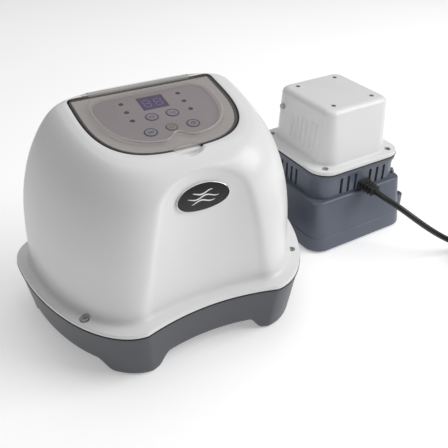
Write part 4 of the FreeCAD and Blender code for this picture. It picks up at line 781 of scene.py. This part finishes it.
# ---------------------------------------------------------------------------------------
# Badge: a domed black oval with a bright rim and a plain wave mark.
# ---------------------------------------------------------------------------------------
BADGE_X, BADGE_Z, BADGE_HALF_X, BADGE_HALF_Z = -0.5, 131.8, 29.5, 15.0


def badge_ring(share, proud, count=96):
    """An oval ring on the hollow front, standing proud of it."""
    across, up = circle(0, 0, share, count).T
    x, z = BADGE_X + BADGE_HALF_X * across, BADGE_Z + BADGE_HALF_Z * up
    return np.column_stack([x, recess_depth(x, z) - proud, z])


rim_rings = [badge_ring(1 - inset / BADGE_HALF_X, proud) for inset, proud in
             ((0.0, -0.6), (0.0, 1.1), (0.15, 1.5), (0.45, 1.7), (0.8, 1.6), (1.0, 1.2), (1.05, -0.6))]
points, faces = loop_skin(rim_rings)
add_piece("badge_rim_ring", points, faces, DOME, "control_unit", "badge_silver", replaces=("badge_rim",))
PLATE_SHARE, PLATE_EDGE, PLATE_CROWN = 0.966, 1.25, 1.5
plate_rings = [badge_ring(0.93, -0.6)]
plate_rings += [badge_ring(PLATE_SHARE * share, PLATE_EDGE + PLATE_CROWN * (1 - share ** 2))
                for share in (1.0, 0.97, 0.9, 0.8, 0.65, 0.5, 0.3, 0.1, 0.01)]
points, faces = skin(plate_rings)
add_piece("badge_plate", points, faces, DOME, "control_unit", "badge_black", replaces=("front_badge",))
wave_parts = []
for row, reach in ((5.2, 11.0), (0.6, 17.0), (-4.0, 13.0)):
    xs = np.linspace(-reach, reach, 60)
    zs = row + 1.5 * np.sin(xs / 3.6 + row)
    width = 1.5 * np.sqrt(np.maximum(0.04, 1 - (xs / reach) ** 2))
    rings = []
    for x, z, w in zip(xs + BADGE_X, zs + BADGE_Z, width):
        share = math.hypot((x - BADGE_X) / BADGE_HALF_X, (z - BADGE_Z) / BADGE_HALF_Z)
        proud = PLATE_EDGE + 0.05 + PLATE_CROWN * (1 - min(1, share / PLATE_SHARE) ** 2)
        face = recess_depth(x, z) - proud
        rings.append([(x, face - 0.18, z + w / 2), (x, face + 0.5, z + w / 2),
                      (x, face + 0.5, z - w / 2), (x, face - 0.18, z - w / 2)])
    wave_parts.append(skin(rings))
points, faces = merged(wave_parts)
add_piece("badge_waves", points, faces, DOME, "control_unit", "badge_silver",
          finish=moulded("badge print", (0.85, 0.85, 0.86), tone=0.02, rough=0.25))

# ---------------------------------------------------------------------------------------
# Power unit.
# ---------------------------------------------------------------------------------------
def rounded_rect(half_x, half_y, corner, level, corner_steps=12, x_steps=14, y_steps=14):
    """A closed ring round a rectangle with round corners, from the front right corner on."""
    ring = []
    for sx, sy, start in ((1, -1, -90), (1, 1, 0), (-1, 1, 90), (-1, -1, 180)):
        cx, cy = sx * (half_x - corner), sy * (half_y - corner)
        for a in np.radians(np.linspace(start, start + 90, corner_steps + 1)):
            ring.append((cx + corner * math.cos(a), cy + corner * math.sin(a)))
        runs = y_steps if start in (-90, 90) else x_steps
        nx, ny = {-90: (half_x, half_y - corner), 0: (-half_x + corner, half_y),
                  90: (-half_x, -half_y + corner), 180: (half_x - corner, -half_y)}[start]
        x0, y0 = ring[-1]
        for k in range(1, runs):
            ring.append((x0 + (nx - x0) * k / runs, y0 + (ny - y0) * k / runs))
    return at_level(np.array(ring), level)


PLINTH_FOOT = (85.0, 90.5, 24.0, 1.5)
PLINTH_HEAD = (77.5, 77.5, 12.0, 75.0)


def plinth_ring(z, inset=0.0):
    """The base box at a level."""
    share = (z - PLINTH_FOOT[3]) / (PLINTH_HEAD[3] - PLINTH_FOOT[3])
    half_x, half_y, corner = (low + share * (high - low) for low, high in zip(PLINTH_FOOT, PLINTH_HEAD[:3]))
    return rounded_rect(half_x - inset, half_y - inset, corner - 0.5 * inset, z)


plinth_rings = []
for angle in np.radians([0, 25, 50, 75, 90]):
    plinth_rings.append(plinth_ring(1.5 + 3.0 * (1 - math.cos(angle)), 3.0 * (1 - math.sin(angle))))
plinth_rings += [plinth_ring(z, inset) for z, inset in
                 ((10, 0), (22.4, 0), (22.8, 0.35), (23.2, 0.5), (23.7, 0.6), (24.2, 0.6), (40, 0.6),
                  (55, 0.6), (70, 0.6), (72.8, 0.6))]
for angle in np.radians([22, 45, 67, 90]):
    plinth_rings.append(plinth_ring(72.8 + 2.2 * math.sin(angle), 0.6 + 2.2 * (1 - math.cos(angle))))
parts = [skin(plinth_rings)]
for x, y in ((73.6, -59.0), (-73.6, 59.0)):
    parts.append(skin([at_level(circle(x, y, radius, 32), z)
                       for radius, z in ((4.0, 71.6), (4.0, 77.6), (3.8, 78.3), (3.2, 78.6))]))
EAR_X, EAR_Y, EAR_RADIUS, EAR_LOW, EAR_HIGH = 86.0, 66.0, 8.0, 16.0, 38.0
EAR_HOLE, EAR_SHIFT, EAR_BACK, EAR_EDGE = 2.75, 2.0, 12.0, 0.8
reach = circle(0, 0, 1, 64)
for sign in (-1, 1):
    # Distances from the hole to the ear's round end, its straight sides and its root.
    side, across = sign * reach[:, 0], np.abs(reach[:, 1])
    to_round = (-EAR_SHIFT * side
                + np.sqrt((EAR_SHIFT * side) ** 2 + EAR_RADIUS ** 2 - EAR_SHIFT ** 2))
    to_edge = EAR_RADIUS / np.maximum(across, 1e-9)
    to_root = np.where(side < 0, EAR_BACK / np.maximum(-side, 1e-9), np.inf)
    straight = side * to_edge < -EAR_SHIFT
    length = np.where(straight, np.minimum(to_edge, to_root), to_round)
    hole = np.array([sign * (EAR_X + EAR_SHIFT), -sign * EAR_Y])
    hole_ring, outer_ring = hole + EAR_HOLE * reach, hole + reach * length[:, None]
    small_ring = hole + (outer_ring - hole) * 0.92
    ear_rings = [at_level(ring, level) for ring, level in
                 ((hole_ring, EAR_LOW), (small_ring, EAR_LOW), (outer_ring, EAR_LOW + EAR_EDGE),
                  (outer_ring, EAR_HIGH - EAR_EDGE), (small_ring, EAR_HIGH), (hole_ring, EAR_HIGH))]
    parts.append(loop_skin(ear_rings))
points, faces = merged(parts)
add_piece("power_base_box", points, faces, POWER, "power_unit", "slate_base", replaces=("power_base",))

VENT_HALF_X, VENT_HALF_Y, VENT_ROUND = 70.5, 72.0, 22.0
VENT_PROFILE = ((0.0, 75.1), (0.0, 102.0), (0.1, 102.5), (0.9, 103.2), (1.1, 103.8), (1.1, 105.0),
                (1.3, 105.5), (2.2, 106.2), (2.5, 106.8), (2.5, 111.0), (2.3, 111.5), (1.9, 111.8))
vent_rings = [rounded_rect(VENT_HALF_X + grow, VENT_HALF_Y + 1.4 * grow, VENT_ROUND + 1.6 * grow, level)
              for grow, level in VENT_PROFILE]
points, faces = skin(vent_rings)
vent = add_piece("vented_housing_box", points, faces, POWER, "power_unit", "slate_base",
                 replaces=("vented_housing",))
RELIEF_X, RELIEF_LEVEL, RELIEF_WALL = 6.5, 82.0, -72.0
VENT_SLOT_HALF, VENT_SLOT_LOW, VENT_SLOT_HIGH = 2.1, 77.5, 101.5


def slot_tool(low_x, high_x, low_y, high_y):
    """A box as high as a vent slot."""
    return box_tool((low_x, low_y, VENT_SLOT_LOW), (high_x, high_y, VENT_SLOT_HIGH))


slot_tools = []
for n in range(3):
    for x in (RELIEF_X - 14.5 - 12.5 * n, RELIEF_X + 11.5 + 12.5 * n):
        slot_tools.append(slot_tool(x - VENT_SLOT_HALF, x + VENT_SLOT_HALF, -78, -64))
for n in range(7):
    for first, low, high in ((-20, -77, -63), (-33, 63, 77)):
        y = first + 11 * n
        slot_tools.append(slot_tool(low, high, y - VENT_SLOT_HALF, y + VENT_SLOT_HALF))
slot_tools.append(box_tool((RELIEF_X - 8, -78, 77.0), (RELIEF_X + 8, -64, 87.0)))
carve(vent, POWER, slot_tools)
# A black sheet just inside the vent slots: painted shade standing for the dark interior seen through them.
points, faces = skin([rounded_rect(66.5, 68.0, 18, z) for z in (76.0, 104.0)])
add_piece("vent_painted_shade_liner", points, faces, POWER, "power_unit", "black_component")

RIM_HALF_X, RIM_HALF_Y, RIM_ROUND, RIM_TOP = 73.0, 75.5, 26.0, 113.0


def rim_ring(level, inset, steps=(12, 14, 14)):
    """The outline that the rim's gasket and the cap's flange share, drawn in by an inset."""
    return rounded_rect(RIM_HALF_X - inset, RIM_HALF_Y - inset, RIM_ROUND - inset, level, *steps)


# Black gasket that shows as a thin line under the white flange.
gasket_rings = [rim_ring(level, -grow) for grow, level in
                ((-9.0, 111.9), (0.3, 111.9), (0.8, 112.2), (0.8, 112.8), (0.3, 113.1), (-9.0, 113.1))]
points, faces = loop_skin(gasket_rings)
add_piece("power_gasket_bead", points, faces, POWER, "power_unit", "black_rubber",
          replaces=("power_gasket",))

CAP_FOOT, CAP_HEAD = (58.0, 64.0, 25.0, RIM_TOP), (52.5, 56.5, 14.0, 186.0)
CAP_EDGE = 8.0
CAP_FLUTES = [-34 + 10 * n for n in range(6)]
CAP_STEPS = (14, 14, 110)


def cap_ring(level, inset=0.0):
    """The cap's wall at a level, fluted on its left side."""
    share = (level - CAP_FOOT[3]) / (CAP_HEAD[3] - CAP_FOOT[3])
    half_x, half_y, corner = (low + share * (high - low) for low, high in zip(CAP_FOOT, CAP_HEAD[:3]))
    half_x, half_y = half_x - inset, half_y - inset
    ring = rounded_rect(half_x, half_y, max(5.0, corner - 0.6 * inset), level, *CAP_STEPS)
    left = (ring[:, 0] < -half_x + 0.01) & (np.abs(ring[:, 1]) < half_y - 10)
    if inset == 0 and level > 121:
        for n, y in enumerate(CAP_FLUTES):
            window = smooth_step((level - 124 - 1.2 * n) / 8) * smooth_step((176 - 1.2 * n - level) / 8)
            near = np.clip(1 - np.abs(ring[:, 1] - y) / 3.4, 0, 1)
            ring[left, 0] += 2.0 * window * smooth_step(near[left])
    return ring


CAP_FLANGE_TOP, CAP_FLANGE_EDGE, CAP_FILLET = RIM_TOP + 5.0, 1.0, 2.6
cap_rings = [rim_ring(level, inset, CAP_STEPS) for inset, level in
             ((2.0, 113.1), (0.4, 113.1), (0.0, 113.5), (0.2, 116.9))]
for angle in np.radians([22, 45, 67, 90]):
    cap_rings.append(rim_ring(CAP_FLANGE_TOP - CAP_FLANGE_EDGE * (1 - math.sin(angle)),
                              0.2 + CAP_FLANGE_EDGE * (1 - math.cos(angle)), CAP_STEPS))
for angle in np.radians([0, 22, 45, 67, 90]):
    cap_rings.append(cap_ring(CAP_FLANGE_TOP + CAP_FILLET * (1 - math.cos(angle)),
                              -CAP_FILLET * (1 - math.sin(angle))))
cap_rings += [cap_ring(float(level)) for level in np.linspace(122, CAP_HEAD[3], 44)]
for angle in np.radians(np.linspace(0, 90, 10)[1:]):
    cap_rings.append(cap_ring(CAP_HEAD[3] + CAP_EDGE * math.sin(angle),
                              CAP_EDGE * (1 - math.cos(angle)) + 0.001))
points, faces = skin(cap_rings)
cap = add_piece("power_cap_shell", points, faces, POWER, "power_unit", "white_housing",
                replaces=("power_cap",), sharp=36.0)
RESET_Y, RESET_Z = 42.0, 168.0
reset_way = circle(RESET_Y, RESET_Z, 4.3, 32)
carve(cap, POWER, [disc_tool(x, y, 116.6, 130, 4.6) for x in (-55.5, 55.5) for y in (-61.5, 61.5)]
      + [disc_tool(x, y, 192.8, 199, 3.4) for x in (-32.6, 32.6) for y in (-38.5, 38.5)]
      + [skin([[(x, y, z) for y, z in reset_way] for x in (-64.0, -44.0)])], sharp=36.0)



# Strain relief: a ribbed boot.
def relief_ring(out, half_x, half_z, corner):
    """A rounded section of the boot at a distance out of the wall."""
    flat = rounded_rect(half_x, half_z, corner, 0.0, 5, 3, 3)
    return np.column_stack([RELIEF_X + flat[:, 0], np.full(len(flat), RELIEF_WALL - out),
                            RELIEF_LEVEL + flat[:, 1]])


BOOT_COLLAR = ((-3.0, 7.9, 4.9, 1.5), (0.0, 7.9, 4.9, 1.5), (0.2, 9.6, 6.2, 1.5), (2.0, 9.6, 6.2, 1.5),
               (2.3, 9.2, 5.9, 1.5))
BOOT_TIP = ((25.3, 5.2, 4.7, 1.6), (25.8, 5.0, 4.6, 1.8), (26.0, 4.6, 4.4, 1.9))
RIBS, RIB_START, RIB_PITCH = 4, 6.0, 5.6
boot = [relief_ring(*section) for section in BOOT_COLLAR]
for n in range(RIBS):
    share = n / (RIBS - 1)
    neck_x, neck_z = 6.2 - 0.9 * share, 4.5 - 0.2 * share
    rib_x, rib_z = 9.4 - 2.0 * share, 6.2 - 0.6 * share
    start = RIB_START + RIB_PITCH * n
    boot += [relief_ring(start - 3.0, neck_x, neck_z, 1.2), relief_ring(start - 0.25, neck_x, neck_z, 1.2),
             relief_ring(start, rib_x - 0.3, rib_z - 0.3, 1.1), relief_ring(start + 0.3, rib_x, rib_z, 1.3),
             relief_ring(start + 2.0, rib_x, rib_z, 1.3),
             relief_ring(start + 2.3, rib_x - 0.3, rib_z - 0.3, 1.1)]
boot += [relief_ring(*section) for section in BOOT_TIP]
points, faces = skin(boot)
add_piece("strain_relief_boot", points, faces, POWER, "power_unit", "black_rubber",
          replaces=("strain_relief",))

# ---------------------------------------------------------------------------------------
# Mains cord.
# ---------------------------------------------------------------------------------------
CORD_ROUTE = [
    (189.1, -48.9, 82.0), (190.2, -63.2, 81.4), (195.0, -77.1, 78.2), (203.4, -90.6, 71.6),
    (216.3, -101.6, 60.2), (230.9, -111.0, 47.8), (247.9, -118.4, 34.7), (266.0, -124.0, 22.5),
    (286.0, -128.9, 11.4), (304.4, -132.6, 4.0), (328.4, -139.6, 4.0),
]
TAIL_ROUTE = [
    (318.3, -241.3, 28.0), (302.4, -242.7, 26.2), (286.4, -244.1, 21.0), (272.5, -245.3, 15.0),
    (260.5, -246.4, 13.0),
]
CORD_RADIUS = 4.0
LANES = ((52, 4), (44, 4), (44, 12), (52, 12), (52, 20), (44, 20), (44, 28), (52, 28), (52, 28))
POINTS_PER_TURN = 20
run_end, run_before = Vector(CORD_ROUTE[-1]), Vector(CORD_ROUTE[-2])
heading = (run_end - run_before).normalized()
coil_centre = run_end + Vector((heading.y, -heading.x, 0)) * LANES[0][0]
first_angle = math.atan2(run_end.y - coil_centre.y, run_end.x - coil_centre.x)
tail_start = Vector(TAIL_ROUTE[0])
last_angle = math.atan2(tail_start.y - coil_centre.y, tail_start.x - coil_centre.x)
turns = len(LANES) - 2 + ((first_angle - last_angle) % (2 * math.pi)) / (2 * math.pi)
coil = []
coil_steps = int(turns * POINTS_PER_TURN)
for step in range(1, coil_steps):
    turn = turns * step / coil_steps
    lane = int(turn)
    change = float(smooth_step((turn - lane - 0.82) / 0.18))
    radius = LANES[lane][0] * (1 - change) + LANES[lane + 1][0] * change
    level = LANES[lane][1] * (1 - change) + LANES[lane + 1][1] * change
    angle = first_angle - turn * 2 * math.pi
    coil.append((coil_centre.x + radius * math.cos(angle), coil_centre.y + radius * math.sin(angle),
                 level))
route = CORD_ROUTE + coil + TAIL_ROUTE
curve = bpy.data.curves.new("mains_cord_line", "CURVE")
curve.dimensions = "3D"
curve.bevel_depth = CORD_RADIUS * MM
curve.bevel_resolution = 5
curve.resolution_u = 6
curve.use_fill_caps = True
line = curve.splines.new("NURBS")
line.points.add(len(route) - 1)
for point, place in zip(line.points, route):
    point.co = (place[0] * MM, place[1] * MM, place[2] * MM, 1.0)
line.order_u = 3
line.use_endpoint_u = True
curve.materials.append(MATERIALS["cord_sheath"])
cord = bpy.data.objects.new("mains_cord_line", curve)
bpy.context.scene.collection.objects.link(cord)
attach(cord, "power_unit")
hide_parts("mains_cord", "mains_cord_tail", "mains_cord_coil")

# ---------------------------------------------------------------------------------------
# Floor, light and camera.
# ---------------------------------------------------------------------------------------
floor_finish = moulded("pale floor", (0.94, 0.94, 0.94), tone=0.01, rough=0.7, mottle=3.0, bump=0.0)
floor_shader = floor_finish.node_tree.nodes["Principled BSDF"]
floor_shader.inputs["Emission Color"].default_value = (1.0, 1.0, 1.0, 1)
floor_shader.inputs["Emission Strength"].default_value = 0.32
floor_mesh = bpy.data.meshes.new("floor")
floor_mesh.from_pydata([(-6, -6, 0), (6, -6, 0), (6, 6, 0), (-6, 6, 0)], [], [(0, 1, 2, 3)])
floor_mesh.materials.append(floor_finish)
floor = bpy.data.objects.new("floor", floor_mesh)
bpy.context.scene.collection.objects.link(floor)
floor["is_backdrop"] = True

world = bpy.data.worlds.new("studio")
world.use_nodes = True
world.node_tree.nodes["Background"].inputs["Color"].default_value = (1.0, 1.0, 1.0, 1)
world.node_tree.nodes["Background"].inputs["Strength"].default_value = 0.22
bpy.context.scene.world = world


def soft_light(name, place, target, width, power):
    """A square soft box aimed at a point."""
    lamp = bpy.data.lights.new(name, "AREA")
    lamp.shape = "SQUARE"
    lamp.size = width
    lamp.energy = power
    holder = bpy.data.objects.new(name, lamp)
    holder.location = place
    holder.rotation_euler = (Vector(target) - Vector(place)).to_track_quat("-Z", "Y").to_euler()
    bpy.context.scene.collection.objects.link(holder)


soft_light("key", (1.5, -0.9, 1.5), (0.0, 0.0, 0.08), 1.4, 30)
soft_light("top", (0.2, 0.5, 2.2), (0.0, 0.0, 0.1), 2.0, 15)

scene = bpy.context.scene
scene.view_settings.view_transform = "Standard"
camera_data = bpy.data.cameras.new("camera")
camera_data.lens = 48.52
camera_data.sensor_width = 36.0
camera_data.clip_start = 0.01
camera = bpy.data.objects.new("camera", camera_data)
camera.location = (-0.3221, -0.57193, 0.51406)
camera.rotation_euler = (math.radians(55.31), 0.0, math.radians(-27.948))
scene.collection.objects.link(camera)
scene.camera = camera

low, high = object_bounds()
